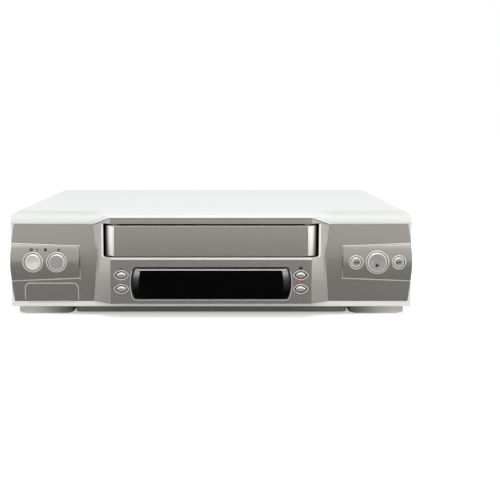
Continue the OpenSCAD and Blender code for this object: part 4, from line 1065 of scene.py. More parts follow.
@dataclass
class Studio:
    """Camera, lamps, floor and backdrop of the product shot.

    Attributes:
        eye: Camera's place, in metres from the wing plane.
        pitch: How far the camera looks down, in degrees.
        focal_px: Focal length in pixels of the frame.
        centre_px: Pixel of the frame that the camera's axis meets.
        frame_px: Width and height of the frame in pixels.
        sensor: Width of the camera's sensor in millimetres.
        boxes: The lamps.
        aim: Point that every lamp looks at.
        world_level: Light of the room where it isn't seen directly.
        floor_tone: Tone of the floor where it isn't seen directly.
        floor_half: Half the floor's width.
        glow: Distances where the floor starts to glow and where it is white.
        glow_near: Share of the glow that the floor has from the recorder on.
        apron: Distances from the wing plane where the apron starts and ends.
        apron_half: Half its width at each of its ends.
        apron_top: Height of its far end, which stands up.
        apron_lift: Its height above the floor.
        apron_grade: Distances where it starts to lighten and where it stops.
        apron_levels: Its light at those distances.
    """

    eye: Place = (0.0094, -0.8419, 0.1856)
    pitch: float = 4.5
    focal_px: float = 894.85
    centre_px: Point = (221.1, 190.8)
    frame_px: float = 500.0
    sensor: float = 36.0
    boxes: tuple[SoftBox, ...] = (
        SoftBox("overhead_box", (0.0, -0.55, 1.5), (1.8, 1.4), 12.5),
        SoftBox("right_box", (1.3, -1.1, 0.6), (0.8, 0.8), 3.6, (1.0, 0.95, 0.88)),
        SoftBox("left_box", (-1.3, -1.1, 0.6), (0.8, 0.8), 0.9, (0.9, 0.95, 1.0)),
        SoftBox("front_box", (0.0, -2.4, 0.5), (1.6, 0.8), 7.5, mirrored=False))
    aim: Place = (0.0, 0.0, 0.05)
    world_level: float = 0.5
    floor_tone: float = 0.95
    floor_half: float = 8.0
    glow: Point = (0.25, 1.0)
    glow_near: float = 0.45
    apron: Point = (-0.1, -1.6)
    apron_half: Point = (0.38, 0.78)
    apron_top: float = 1.0
    apron_lift: float = 0.002
    apron_grade: Point = (0.25, 0.85)
    apron_levels: Point = (0.06, 0.32)

    def camera(self) -> None:
        """Places the camera as the photograph's was."""
        lens = bpy.data.cameras.new("shot")
        lens.sensor_width = self.sensor
        lens.lens = self.focal_px / self.frame_px * self.sensor
        lens.shift_x = (self.frame_px / 2 - self.centre_px[0]) / self.frame_px
        lens.shift_y = (self.centre_px[1] - self.frame_px / 2) / self.frame_px
        lens.clip_start, lens.clip_end = 0.05, 50.0
        made = linked("shot", lens)
        made.location = (self.eye[0], WING_PLANE + self.eye[1], self.eye[2])
        made.rotation_euler = (math.radians(90 - self.pitch), 0.0, 0.0)
        bpy.context.scene.camera = made

    def lamp(self, box: SoftBox) -> None:
        """Hangs one lamp."""
        light = bpy.data.lights.new(box.name, "AREA")
        light.shape = "RECTANGLE"
        light.size, light.size_y = box.size
        light.energy = box.power
        light.color = box.colour
        made = linked(box.name, light)
        made.location = box.place
        made.rotation_euler = (Vector(self.aim) - made.location).to_track_quat("-Z", "Y").to_euler()
        made.visible_glossy = box.mirrored

    def seen_directly(self, graph: Graph) -> bpy.types.NodeSocket:
        """Adds the mask of the rays that show the backdrop, from the eye, off metal or through glass."""
        path = graph.node("ShaderNodeLightPath")
        shiny = graph.math("MAXIMUM", path.outputs["Is Glossy Ray"], path.outputs["Is Transmission Ray"])
        return graph.math("MAXIMUM", path.outputs["Is Camera Ray"], shiny)

    def world(self) -> None:
        """Sets the even light of the room, white where it is seen directly."""
        made, graph = blank(bpy.data.worlds, "room")
        spread = 1.0 - self.world_level
        level = graph.math("MULTIPLY_ADD", self.seen_directly(graph), spread, self.world_level)
        light = graph.node("ShaderNodeBackground", {"Color": WHITE_LIGHT, "Strength": level})
        graph.show(light, "ShaderNodeOutputWorld")
        bpy.context.scene.world = made

    def sheet(self, name: str, corners: Sequence[Sequence[Place]], look: bpy.types.Material
              ) -> bpy.types.Object:
        """Makes a bare sheet of the studio, such as the floor.

        Args:
            name: Its name.
            corners: Corners of each of its faces, in metres.
            look: Its material.

        Returns:
            The sheet, marked as no part of the recorder.
        """
        shape = Shape()
        for face in corners:
            shape.face(face)
        made = placed(name, shape.mesh)
        made.data.materials.append(look)
        return made

    def floor(self) -> None:
        """Lays the pale floor, which is white where it is seen and keeps the recorder's shadow."""
        paper, graph = blank(bpy.data.materials, "pale_paper")
        seen = self.seen_directly(graph)
        tone = (self.floor_tone, self.floor_tone, self.floor_tone, 1.0)
        start, full = self.glow
        glow = graph.ramp(graph.reach(), (start, self.glow_near), (full, 1.0))
        graph.show(graph.node("ShaderNodeBsdfPrincipled", {
            "Base Color": graph.mix(seen, tone, WHITE_LIGHT), "Roughness": 0.9, "Specular IOR Level": 0.0,
            "Emission Color": WHITE_LIGHT, "Emission Strength": graph.math("MULTIPLY", glow, seen)}))
        half = self.floor_half
        self.sheet("pale_floor", [
            [(-half, -half, 0.0), (half, -half, 0.0), (half, half, 0.0), (-half, half, 0.0)]], paper)

    def dark_apron(self) -> None:
        """Lays a dark apron before the recorder, which only its glossy faces see.

        It is black at the recorder's foot and lightens with distance, so that the
        front reflects less light the lower it lies. Its far end stands up.
        """
        felt, graph = blank(bpy.data.materials, "graded_felt")
        foot, head = zip(self.apron_grade, self.apron_levels)
        level = graph.ramp(graph.reach((0.0, WING_PLANE, 0.0)), foot, head)
        graph.show(graph.node("ShaderNodeEmission", {"Strength": level}))
        near, far = self.apron
        narrow, broad = self.apron_half
        low, top = self.apron_lift, self.apron_top
        made = self.sheet("dark_apron", [
            [(-narrow, near, low), (narrow, near, low), (broad, far, low), (-broad, far, low)],
            [(-broad, far, low), (broad, far, low), (broad, far, top), (-broad, far, top)]], felt)
        made.visible_camera = False
        made.visible_diffuse = False
        made.visible_shadow = False
        made.visible_transmission = False

    def build(self) -> None:
        """Builds the studio."""
        bpy.context.scene.view_settings.view_transform = "Standard"
        self.camera()
        self.world()
        self.floor()
        self.dark_apron()
        for box in self.boxes:
            self.lamp(box)


@dataclass
class Surfaces:
    """Depths of the front's surfaces, and what several of its classes share."""

    wing_mid: float = 50.85 * MM
    wing_radius: float = 335.0 * MM
    wing_out: float = 2.25 * MM
    panel_mid: float = 51.7 * MM
    panel_radius: float = 44.0 * MM
    panel_out: float = 5.9 * MM
    block_out: float = 15.0 * MM
    face_half: float = 94.0 * MM
    facet_slope: float = 1.2
    key_z: float = 52.0 * MM
    almond_x: float = 83.9 * MM
    almond_levels: tuple[float, float] = (28.3 * MM, 41.4 * MM)

    def wing(self, x: float, z: float) -> float:
        """Gives the depth of a wing at (x, z), in metres from the wing plane."""
        sag = self.wing_radius - math.sqrt(self.wing_radius ** 2 - (z - self.wing_mid) ** 2)
        return sag - self.wing_out

    def panel(self, x: float, z: float) -> float:
        """Gives the depth of a key panel at (x, z), in metres from the wing plane."""
        sag = self.panel_radius - math.sqrt(self.panel_radius ** 2 - (z - self.panel_mid) ** 2)
        return sag - self.panel_out

    def block(self, x: float, z: float) -> float:
        """Gives the depth of the centre block at (x, z), in metres from the wing plane."""
        return max(0.0, abs(x) - self.face_half) / self.facet_slope - self.block_out


@dataclass
class Fascia:
    """Silver front with its panels and the lighter edges round its openings, which are painted highlights.

    Attributes:
        surfaces: Depths of the front's surfaces.
        rim_half: Half the width of the rim round the cassette opening.
        rim_foot: Level of the rim's foot.
        rim_top: Level at which the rim's sides end.
        baffle_x: Least and greatest distance of a baffle from the middle.
        baffle_y: Depths of a baffle's two faces.
        panel_in: Distance of a key panel's inner end from the middle.
        panel_in_half: Half its height there.
        panel_end: Distance of its outer end from the middle.
        panel_end_half: Half its height there.
        border_gap: Way from a panel's edge to the line round it.
        flap_left: Left edge of the socket flap, and so on round it.
        flap_gap: Way from the flap's edge to the middle of the line round it.
        bezels: Place along the front and radius of each round key.
        bezel_gap: Way from a key's edge to the middle of its ring.
        almond: Length and height of the line round a small key.
        well: Length and height of the mouth of the near-black well that is painted shade, and of its floor.
        well_depths: Depth of the well's mouth and floor below the surface.
    """

    surfaces: Surfaces
    rim_half: float = 102.2 * MM
    rim_foot: float = 57.0 * MM
    rim_top: float = 88.6 * MM
    rim_corner: float = 3.0 * MM
    rim_width: float = 2.2 * MM
    rim_lift: float = 0.95 * MM
    baffle_x: tuple[float, float] = (99.95 * MM, 102.0 * MM)
    baffle_y: tuple[float, float] = (2.6 * MM, 3.2 * MM)
    panel_in: float = 124.8 * MM
    panel_end: float = 188.8 * MM
    panel_in_half: float = 14.7 * MM
    panel_end_half: float = 17.4 * MM
    border_gap: float = 0.1 * MM
    border_width: float = 0.85 * MM
    border_lift: float = 0.3 * MM
    flap_low: float = 15.2 * MM
    flap_top: float = 30.7 * MM
    flap_left: float = -176.0 * MM
    flap_right: float = -127.0 * MM
    flap_corner: float = 4.0 * MM
    flap_gap: float = 0.75 * MM
    flap_line: Point = (0.75 * MM, 0.25 * MM)
    bezels: tuple[tuple[float, float], ...] = (
        (-168.4 * MM, 7.9 * MM), (-145.9 * MM, 7.9 * MM), (136.9 * MM, 5.0 * MM),
        (156.8 * MM, 9.4 * MM), (177.2 * MM, 5.0 * MM))
    bezel_gap: float = 1.25 * MM
    bezel_width: float = 1.0 * MM
    bezel_lift: float = 0.35 * MM
    almond: Point = (13.4 * MM, 8.5 * MM)
    almond_line: Point = (0.75 * MM, 0.3 * MM)
    well: tuple[Point, Point] = ((12.6 * MM, 7.8 * MM), (10.3 * MM, 6.5 * MM))
    well_depths: Point = (0.8 * MM, 0.86 * MM)

    def shells(self) -> None:
        """Takes the sharpness off the fascia, the key panels and the socket flap."""
        # The fascia's slanting facets take painted light.
        softened("front_fascia", HAIR, angle=18.0, facets=FACET_PAINTED_LIGHT)
        softened_set([(node, HAIR) for node in ("left_key_panel", "right_key_panel", "av_flap")], 18.0)

    def rim(self) -> None:
        """Lays the rim down both sides and along the foot of the cassette opening, coloured near white as a
        painted highlight.
        """
        half, foot, corner = self.rim_half, self.rim_foot, self.rim_corner
        right = [(self.surfaces.face_half, foot)]
        right += arc(half - corner, foot + corner, corner, -90, 0, 6) + [(half, self.rim_top)]
        left = [(-x, z) for x, z in reversed(right)]
        shape = Shape()
        shape.bead(left + right, self.rim_width, self.rim_lift, self.surfaces.block)
        shape.piece("opening_rim", RIM_PAINTED_HIGHLIGHT, angle=50.0)

    def baffles(self) -> None:
        """Closes the view past the door's ends with a near-black baffle on each side, as painted shade."""
        shape = Shape()
        shape.pair(self.baffle_x, (self.baffle_y[0], self.rim_foot + 2 * MM),
                   (self.baffle_y[1], self.rim_top - 1.5 * MM))
        shape.piece("opening_baffles", SHADOW)

    def panel_border(self, side: int, name: str) -> None:
        """Lays the line round three sides of a key panel, a bead coloured lighter as a painted highlight.

        Args:
            side: 1 on the right, -1 on the left.
            name: Name of the piece.
        """
        mid = self.surfaces.panel_mid
        out = self.border_width / 2 + self.border_gap
        start = self.panel_in - out
        path = []
        for level in (1, -1):
            corner = (side * start, mid + level * (self.panel_in_half + out))
            end = (side * self.panel_end, mid + level * (self.panel_end_half + out))
            path += [end, corner] if level > 0 else [corner, end]
        shape = Shape()
        shape.bead(path, self.border_width, self.border_lift, self.surfaces.wing)
        shape.piece(name, EDGE_PAINTED_HIGHLIGHT, angle=50.0)

    def flap_border(self) -> None:
        """Lays the line round the sides and the top of the socket flap, a bead coloured lighter as a painted
        highlight.
        """
        out = self.flap_gap
        radius = self.flap_corner + out
        left, right = self.flap_left - out, self.flap_right + out
        top = self.flap_top + out
        path = [(left, self.flap_low)]
        path += arc(left + radius, top - radius, radius, 180, 90)
        path += arc(right - radius, top - radius, radius, 90, 0)
        path += [(right, self.flap_low)]
        shape = Shape()
        shape.bead(path, *self.flap_line, self.surfaces.wing)
        shape.piece("flap_border", EDGE_PAINTED_HIGHLIGHT, angle=50.0)

    def key_bezels(self) -> None:
        """Lays a ring round the hole of each wing key, a bead coloured lighter as a painted highlight."""
        shape = Shape()
        for x, radius in self.bezels:
            circle = disc(x, self.surfaces.key_z, radius + self.bezel_gap)
            shape.bead(circle, self.bezel_width, self.bezel_lift, self.surfaces.panel, closed=True)
        shape.piece("key_bezels", EDGE_PAINTED_HIGHLIGHT, angle=50.0)

    def almond_bezels(self) -> None:
        """Lays an almond round each small key, coloured lighter as a painted highlight, and the near-black
        well inside it as painted shade.
        """
        bright, dark = Shape(), Shape()
        block = self.surfaces.block
        for x in (-self.surfaces.almond_x, self.surfaces.almond_x):
            for z in self.surfaces.almond_levels:
                bright.bead(lens(x, z, *self.almond), *self.almond_line, block, closed=True)
                dark.cover([lens(x, z, *size) for size in self.well],
                           [-depth for depth in self.well_depths], block)
        bright.piece("almond_bezels", EDGE_PAINTED_HIGHLIGHT, angle=50.0)
        dark.piece("almond_wells", SHADOW)

    def build(self) -> None:
        """Builds every piece of the fascia."""
        self.shells()
        self.rim()
        self.baffles()
        self.panel_border(-1, "left_panel_border")
        self.panel_border(1, "right_panel_border")
        self.flap_border()
        self.key_bezels()
        self.almond_bezels()


@dataclass
class CassetteDoor:
    """Door over the cassette opening, with hollow-ground ends and two hinge ears.

    Attributes:
        face_half: Half the width of its flat face.
        end_half: Half its whole width.
        low: Level of its lower edge.
        high: Level of its upper edge.
        front: Depth of its face.
        tip: Depth of the back of its ends.
        hollow: Way from the face's edge to the point that draws the hollow in.
        hollow_steps: Faces across a hollow.
        back_half: Half the width of its flat back.
        ear_in: Distance of an ear's inner side from the middle.
        ear_t: Thickness of an ear.
        pin_end: Distance of a pin's end from the middle.
        edge: Width of the panel's rounded edges.
    """

    face_half: float = 90.6 * MM
    end_half: float = 98.6 * MM
    low: float = 59.15 * MM
    high: float = 87.8 * MM
    front: float = -15.0 * MM
    tip: float = -9.65 * MM
    tip_round: float = 0.5 * MM
    tip_width: float = 1.3 * MM
    hollow: Point = (3.0 * MM, 3.7 * MM)
    hollow_steps: int = 8
    thickness: float = 2.4 * MM
    back_half: float = 92.4 * MM
    hinge_y: float = -10.7 * MM
    hinge_z: float = 88.2 * MM
    ear_in: float = 88.0 * MM
    ear_t: float = 1.8 * MM
    pin_end: float = 92.3 * MM
    pin_radius: float = 0.9 * MM
    boss_radius: float = 1.2 * MM
    edge: float = 0.45 * MM

    def plan(self) -> list[Point]:
        """Gives the door's outline from above, as (x, depth), with a hollow at each end."""
        start = Vector((self.face_half, self.front))
        bend = start + Vector(self.hollow)
        end = Vector((self.end_half, self.tip - self.tip_round))
        right = []
        for k in range(self.hollow_steps + 1):
            t = k / self.hollow_steps
            right.append(tuple((1 - t) ** 2 * start + 2 * t * (1 - t) * bend + t * t * end))
        right += [(self.end_half - 0.2 * MM, self.tip), (self.end_half - self.tip_width, self.tip),
                  (self.back_half, self.front + self.thickness)]
        return right + [(-x, y) for x, y in reversed(right)]

    def panel(self) -> None:
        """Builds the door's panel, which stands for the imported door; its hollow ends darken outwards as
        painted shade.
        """
        outline = self.plan()
        shape = Shape()
        shape.strip([[(x, WING_PLANE + y, z) for x, y in outline] for z in (self.low, self.high)])
        shape.piece("cassette_door_panel", DOOR_PAINTED_SHADE, "door", ("cassette_door",), self.edge, angle=30.0)

    def ears(self) -> None:
        """Builds the two ears behind the panel and their hinge pins."""
        shape = Shape()
        ear_out = self.ear_in + self.ear_t
        back = self.front + self.thickness - 0.1 * MM
        centre = (0.0, WING_PLANE + self.hinge_y, self.hinge_z)
        shape.pair((self.ear_in, ear_out), (back, self.hinge_z - 2.6 * MM),
                   (self.hinge_y + 1.0 * MM, self.hinge_z - 0.3 * MM))
        for side in (-1, 1):
            for radius, end in ((self.boss_radius, ear_out), (self.pin_radius, self.pin_end)):
                first, last = sorted((side * self.ear_in, side * end))
                shape.lathe(rod(radius, first, last), centre, Axis.X, 24)
        shape.piece("door_ears", SILVER, "door", bevel=0.12 * MM)

    def build(self) -> None:
        """Builds every piece of the door."""
        self.panel()
        self.ears()


@dataclass
class DisplayWindow:
    """Black window with a bevelled surround.

    Attributes:
        half_width: Half its width at mid height.
        half_height: Half its height.
        end_radius: Radius of its curved ends.
        corner_radius: Radius of its corners.
        level: Level of its middle.
        face_half: Half the width of the black face at mid height.
        face_radius: Radius of the face's curved ends.
        bevel_top: Height of the bevel above the face.
        bevel_foot: Height of the bevel below the face.
    """

    surfaces: Surfaces
    half_width: float = 74.5 * MM
    half_height: float = 14.65 * MM
    end_radius: float = 40.0 * MM
    corner_radius: float = 2.5 * MM
    level: float = 33.8 * MM
    face_half: float = 67.6 * MM
    face_radius: float = 60.0 * MM
    face_corner: float = 0.8 * MM
    bevel_top: float = 2.4 * MM
    bevel_foot: float = 0.9 * MM
    face_depth: float = -15.8 * MM
    rim_depth: float = -13.2 * MM
    back_depth: float = -12.4 * MM
    clearance: float = 0.05 * MM
    joint_out: float = 0.35 * MM
    joint_width: float = 0.8 * MM
    edge_out: float = 1.1 * MM
    edge_width: float = 0.6 * MM
    line_lift: float = 0.05 * MM
    leg_x: tuple[float, float] = (60.0 * MM, 64.0 * MM)
    leg_end: float = 11.0 * MM

    @staticmethod
    def barrel(half_x: float, low: float, high: float, radius: float, corner: float) -> list[Point]:
        """Gives a barrel outline with curved ends and round corners.

        Args:
            half_x: Half its width at mid height.
            low: Level of its lower edge.
            high: Level of its upper edge.
            radius: Radius of its ends.
            corner: Radius of its corners.

        Returns:
            Its corners, counter-clockwise from the lower right.
        """
        level = (low + high) / 2
        corner_z = (high - low) / 2 - corner
        turn = math.asin(corner_z / (radius - corner))
        corner_x = half_x - radius + (radius - corner) * math.cos(turn)
        spread = math.degrees(turn)
        right = arc(corner_x, level - corner_z, corner, -90, -spread, 6)
        right += arc(half_x - radius, level, radius, -spread, spread, 16)[1:-1]
        right += arc(corner_x, level + corner_z, corner, spread, 90, 6)
        return right + [(-x, z) for x, z in reversed(right)]

    def grown(self, by: float) -> list[Point]:
        """Gives the window's outline grown all round."""
        low, high = self.level - self.half_height - by, self.level + self.half_height + by
        return self.barrel(self.half_width + by, low, high, self.end_radius + by, self.corner_radius + by)

    def lines(self) -> None:
        """Lays the near-black joint round the window as painted shade, and the edge of its ends and foot,
        coloured lighter as a painted highlight.
        """
        joint = Shape()
        joint.bead(self.grown(self.joint_out), self.joint_width, self.line_lift, self.surfaces.block,
                   closed=True)
        joint.piece("window_joint", SHADOW, angle=50.0)
        edge = Shape()
        outline = self.grown(self.edge_out)
        half = len(outline) // 2
        top = self.level + self.half_height - self.corner_radius
        right = [p for p in outline[:half] if p[1] < top]
        left = [p for p in outline[half:] if p[1] < top]
        edge.bead(left + right, self.edge_width, self.line_lift * 4, self.surfaces.block)
        edge.piece("window_edge", EDGE_PAINTED_HIGHLIGHT, angle=50.0)

    def build(self) -> None:
        """Builds the black face, its bevel, which lightens upwards as a painted reflection, and the legs
        behind.
        """
        gap = self.clearance
        low, high = self.level - self.half_height, self.level + self.half_height
        outer = self.barrel(self.half_width - gap, low + gap, high - gap, self.end_radius, self.corner_radius)
        inner = self.barrel(self.face_half, low + self.bevel_foot, high - self.bevel_top,
                            self.face_radius, self.face_corner)
        frame_shape = Shape()
        frame_shape.stack([inner, outer, outer], [self.face_depth, self.rim_depth, self.back_depth],
                          (False, True))
        frame_shape.piece("window_bevel", BEVEL_GLASS_PAINTED_REFLECTION, "root", ("display_window",), angle=25.0)
        self.lines()
        face = Shape()
        inset = self.barrel(self.face_half - gap, low + self.bevel_foot + gap, high - self.bevel_top - gap,
                            self.face_radius, self.face_corner)
        face.stack([inset, inner], [self.face_depth - 0.05 * MM, self.face_depth + 0.4 * MM])
        face.piece("window_face", WINDOW)
        legs = Shape()
        legs.pair(self.leg_x, (self.back_depth, self.level - 8 * MM),
                  (self.leg_end, self.level - 6 * MM))
        legs.piece("window_legs", BLACK, bevel=0.2 * MM)


@dataclass(frozen=True)
class RoundKey:
    """One round key of the wings.

    Attributes:
        node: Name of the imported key, which is also its body's name.
        x: Its place along the front.
        radius: Radius of its cap.
        hollow: Depth of the dish in its cap.
        proud: How far it stands out beyond the other keys.
    """

    node: str
    x: float
    radius: float
    hollow: float = 0.0
    proud: float = 0.0


@dataclass
class KeySet:
    """The nine keys, the marks beside them and the raised dots on two of them.

    Attributes:
        surfaces: Depths of the front's surfaces.
        round_keys: The five keys of the wings.
        front: Depth of a round key's face.
        collar: Depth of the collar behind the wall.
        collar_out: How far the collar stands out round the key.
        stem: Radius of a round key's stem.
        stem_end: Depth where every stem ends.
        ring: Width of the ring round a cap, coloured lighter as a painted highlight.
        ring_bends: Way outwards from the ring's inner edge and behind the face of each bend of its
            section, in millimetres.
        almond_front: Depth of a small key's face.
        almond_loops: Length, height and way behind the face of each loop of a small key, in
            millimetres, from the middle of its dome to the back of its collar.
        deep_dish: Hollow past which a cap takes a lighter, less metallic copy of the key finish as a painted
            highlight.
        mark_rise: Way from the middle of the round keys up to the marks over them.
    """

    surfaces: Surfaces
    round_keys: tuple[RoundKey, ...] = (
        RoundKey("power_key", -168.4 * MM, 7.9 * MM, hollow=0.9 * MM),
        RoundKey("eject_key", -145.9 * MM, 7.9 * MM),
        RoundKey("rewind_key", 136.9 * MM, 5.0 * MM),
        RoundKey("play_key", 156.8 * MM, 9.4 * MM, hollow=0.25 * MM, proud=0.3 * MM),
        RoundKey("fast_forward_key", 177.2 * MM, 5.0 * MM))
    front: float = -6.5 * MM
    collar: float = 3.0 * MM
    collar_out: float = 1.6 * MM
    collar_t: float = 1.2 * MM
    dish_steps: int = 6
    stem: float = 2.0 * MM
    stem_end: float = 7.5 * MM
    ring: float = 1.3 * MM
    ring_bends: tuple[Point, ...] = (
        (0.0, 0.12), (0.15, -0.02), (0.35, 0.0), (1.0, 0.7), (1.24, 1.05), (1.3, 1.4))
    almond_front: float = -15.4 * MM
    almond_loops: tuple[tuple[float, float, float], ...] = (
        (0.5, 0.25, 0.0), (4.5, 1.5, 0.04), (7.6, 3.3, 0.3), (9.3, 4.9, 0.8), (9.9, 5.8, 1.3),
        (9.9, 5.9, 3.8), (13.4, 8.6, 3.8), (13.4, 8.6, 5.0))
    almond_back: float = -11.6 * MM
    almond_stem: float = 1.6 * MM
    deep_dish: float = 0.5 * MM
    mark_rise: float = 11.9 * MM

    def cap(self, key: RoundKey) -> None:
        """Builds a round key: a dished cap with a chamfer coloured lighter as a painted highlight, a collar
        and a stem.

        Args:
            key: The key.
        """
        front = self.front - key.proud
        inner = key.radius - self.ring
        steps = self.dish_steps
        dish = [(inner * k / steps, front + key.hollow * math.cos(math.pi / 2 * k / steps) ** 2)
                for k in range(steps + 1)]
        out, back = key.radius + self.collar_out, self.collar + self.collar_t
        centre = (key.x, WING_PLANE, self.surfaces.key_z)
        cap = Shape()
        cap.lathe([*dish, (inner, self.collar), (key.radius, self.collar), (out, self.collar), (out, back),
                   (self.stem, back), (self.stem, self.stem_end), (0.0, self.stem_end)], centre, steps=72)
        # A deeply dished cap takes the copy with a painted highlight.
        finish = DISHED_PAINTED_HIGHLIGHT if key.hollow > self.deep_dish else KEY
        cap.piece(key.node + "_cap", finish, key.node, (key.node,), angle=25.0)
        edge = Shape()
        low = self.collar - 0.1 * MM
        bends = [(inner + across * MM, front + behind * MM) for across, behind in self.ring_bends]
        edge.lathe([(inner, low), *bends, (key.radius, low), (inner, low)], centre, steps=72)
        edge.piece(key.node + "_ring", EDGE_PAINTED_HIGHLIGHT, key.node, angle=40.0)

    def almond(self, node: str, x: float, z: float) -> None:
        """Builds a small almond key: a domed cap, a collar behind the wall and a stem.

        Args:
            node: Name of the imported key, which is also its body's name.
            x: Its place along the front.
            z: Its level.
        """
        shape = Shape()
        shape.stack([lens(x, z, length * MM, height * MM) for length, height, _ in self.almond_loops],
                    [self.almond_front + behind * MM for _, _, behind in self.almond_loops])
        shape.lathe(rod(self.almond_stem, self.almond_back, self.stem_end), (x, WING_PLANE, z), steps=24)
        shape.piece(node + "_cap", KEY, node, (node,), angle=35.0)

    def marks(self) -> None:
        """Prints the marks on the panels, the block and the keys."""
        panel, block = self.surfaces.panel, self.surfaces.block
        over = self.surfaces.key_z + self.mark_rise
        Print("power_marks", INK, panel).draw([
            (Mark.POWER, -170.0 * MM, over, 3.3 * MM), (Mark.BAR, -164.4 * MM, over, 2.9 * MM)])
        Print("eject_marks", INK, panel).draw([
            (Mark.STOP, -156.4 * MM, over, 2.6 * MM), (Mark.EJECT, -143.9 * MM, over, 3.0 * MM)])
        high, low = max(self.surfaces.almond_levels), min(self.surfaces.almond_levels)
        x = self.surfaces.almond_x
        Print("block_marks", INK, block).draw([
            (Mark.PLUS, -x, high + 6.1 * MM, 1.9 * MM), (Mark.MINUS, -x, low - 6.1 * MM, 1.9 * MM),
            (Mark.CLOCK, x, high + 6.6 * MM, 3.2 * MM)])
        Print("record_mark", RED_INK, block).draw([
            (Mark.RECORD, x - 3.4 * MM, (high + low) / 2, 1.9 * MM),
            (Mark.RING, x + 1.4 * MM, (high + low) / 2, 2.6 * MM)])
        for key, mark, size, drop in ((self.round_keys[2], Mark.REWIND, 2.8, 0.0),
                                      (self.round_keys[3], Mark.PLAY, 4.2, -2.7),
                                      (self.round_keys[4], Mark.FAST_FORWARD, 2.8, 0.0)):
            depth = self.front - key.proud + 0.04 * MM
            Print(key.node + "_mark", INK, lambda _x, _z, flat=depth: flat, key.node).draw(
                [(mark, key.x, self.surfaces.key_z + drop * MM, size * MM)])

    def dots(self) -> None:
        """Raises the dots on the power and the play key, coloured lighter as a painted highlight."""
        power, play = self.round_keys[0], self.round_keys[3]
        depth = WING_PLANE + self.front
        Row(count=3, step=(2.4 * MM, 0.0, 0.0), radius=0.55 * MM, height=0.6 * MM).build(
            "power_key_dots", (power.x - 2.4 * MM, depth + power.hollow - 0.05 * MM, self.surfaces.key_z),
            EDGE_PAINTED_HIGHLIGHT, power.node)
        Row(count=2, step=(9.2 * MM, 0.0, 0.0), radius=0.42 * MM, height=0.5 * MM).build(
            "play_key_dots", (play.x - 4.6 * MM, depth - play.proud + 0.05 * MM, self.surfaces.key_z),
            EDGE_PAINTED_HIGHLIGHT, play.node)

    def build(self) -> None:
        """Builds every key, mark and dot."""
        for key in self.round_keys:
            self.cap(key)
        low, high = self.surfaces.almond_levels
        x = self.surfaces.almond_x
        for node, side, z in (("channel_up_key", -1, high), ("channel_down_key", -1, low),
                              ("speed_key", 1, high), ("record_key", 1, low)):
            self.almond(node, side * x, z)
        self.marks()
        self.dots()


@dataclass
class Print:
    """Marks printed on one surface in one ink.

    Attributes:
        name: Name of the piece.
        ink: Its finish.
        depth: Depth of the surface at (x, z), in metres from the wing plane.
        body: Body that it rides on.
    """

    name: str
    ink: Finish
    depth: Callable[[float, float], float]
    body: str = "root"
    lift: float = 0.05 * MM
    sunk: float = 0.1 * MM

    @staticmethod
    def outlines(mark: Mark, x: float, z: float, size: float) -> list[list[Point]]:
        """Gives the closed outlines of one mark.

        Args:
            mark: Which mark.
            x: Its middle.
            z: Its middle.
            size: Its height.

        Returns:
            Outlines of (x, z), counter-clockwise.
        """
        half = size / 2
        thin = size * 0.13

        def wedge(left: float, way: int) -> list[Point]:
            """Gives a triangle that points along X, from its flat side."""
            corners = [(left, z - half), (left + way * size * 0.9, z), (left, z + half)]
            return corners if way > 0 else corners[::-1]

        def bar(low_x: float, low_z: float, high_x: float, high_z: float) -> list[Point]:
            """Gives a rectangle between two corners."""
            return [(low_x, low_z), (high_x, low_z), (high_x, high_z), (low_x, high_z)]

        def hoop(start: float, end: float) -> list[Point]:
            """Gives a ring's stretch between two angles."""
            outside = arc(x, z, half, start, end, 24)
            return outside + arc(x, z, half - 2 * thin, end, start, 24)

        if mark is Mark.PLAY:
            return [wedge(x - half * 0.8, 1)]
        if mark is Mark.FAST_FORWARD:
            return [wedge(x - size * 0.9, 1), wedge(x, 1)]
        if mark is Mark.REWIND:
            return [wedge(x + size * 0.9, -1), wedge(x, -1)]
        if mark is Mark.STOP:
            return [bar(x - half, z - half, x + half, z + half)]
        if mark is Mark.BAR:
            return [bar(x - thin, z - half, x + thin, z + half)]
        if mark is Mark.EJECT:
            return [[(x - half, z - half * 0.3), (x + half, z - half * 0.3), (x, z + half)],
                    bar(x - half, z - half, x + half, z - half * 0.6)]
        if mark is Mark.MINUS:
            return [bar(x - half, z - thin, x + half, z + thin)]
        if mark is Mark.PLUS:
            return [bar(x - half, z - thin, x + half, z + thin),
                    bar(x - thin, z + thin, x + thin, z + half), bar(x - thin, z - half, x + thin, z - thin)]
        if mark is Mark.RECORD:
            return [disc(x, z, half, 24)]
        if mark is Mark.POWER:
            return [hoop(125, 415), bar(x - thin, z, x + thin, z + half)]
        if mark is Mark.RING:
            return [hoop(0, 180), hoop(180, 360)]
        return [hoop(0, 180), hoop(180, 360), bar(x - thin, z, x + thin, z + half * 0.7),
                bar(x, z - thin, x + half * 0.6, z + thin * 0.5)]

    def draw(self, marks: Sequence[tuple[Mark, float, float, float]]) -> None:
        """Prints marks as one thin piece.

        Args:
            marks: Each mark with its x, z and height in metres.
        """
        shape = Shape()
        for mark, x, z, size in marks:
            for outline in self.outlines(mark, x, z, size):
                shape.cover([outline, outline], [self.lift, -self.sunk], self.depth, (True, True))
        shape.piece(self.name, self.ink, self.body, angle=60.0)


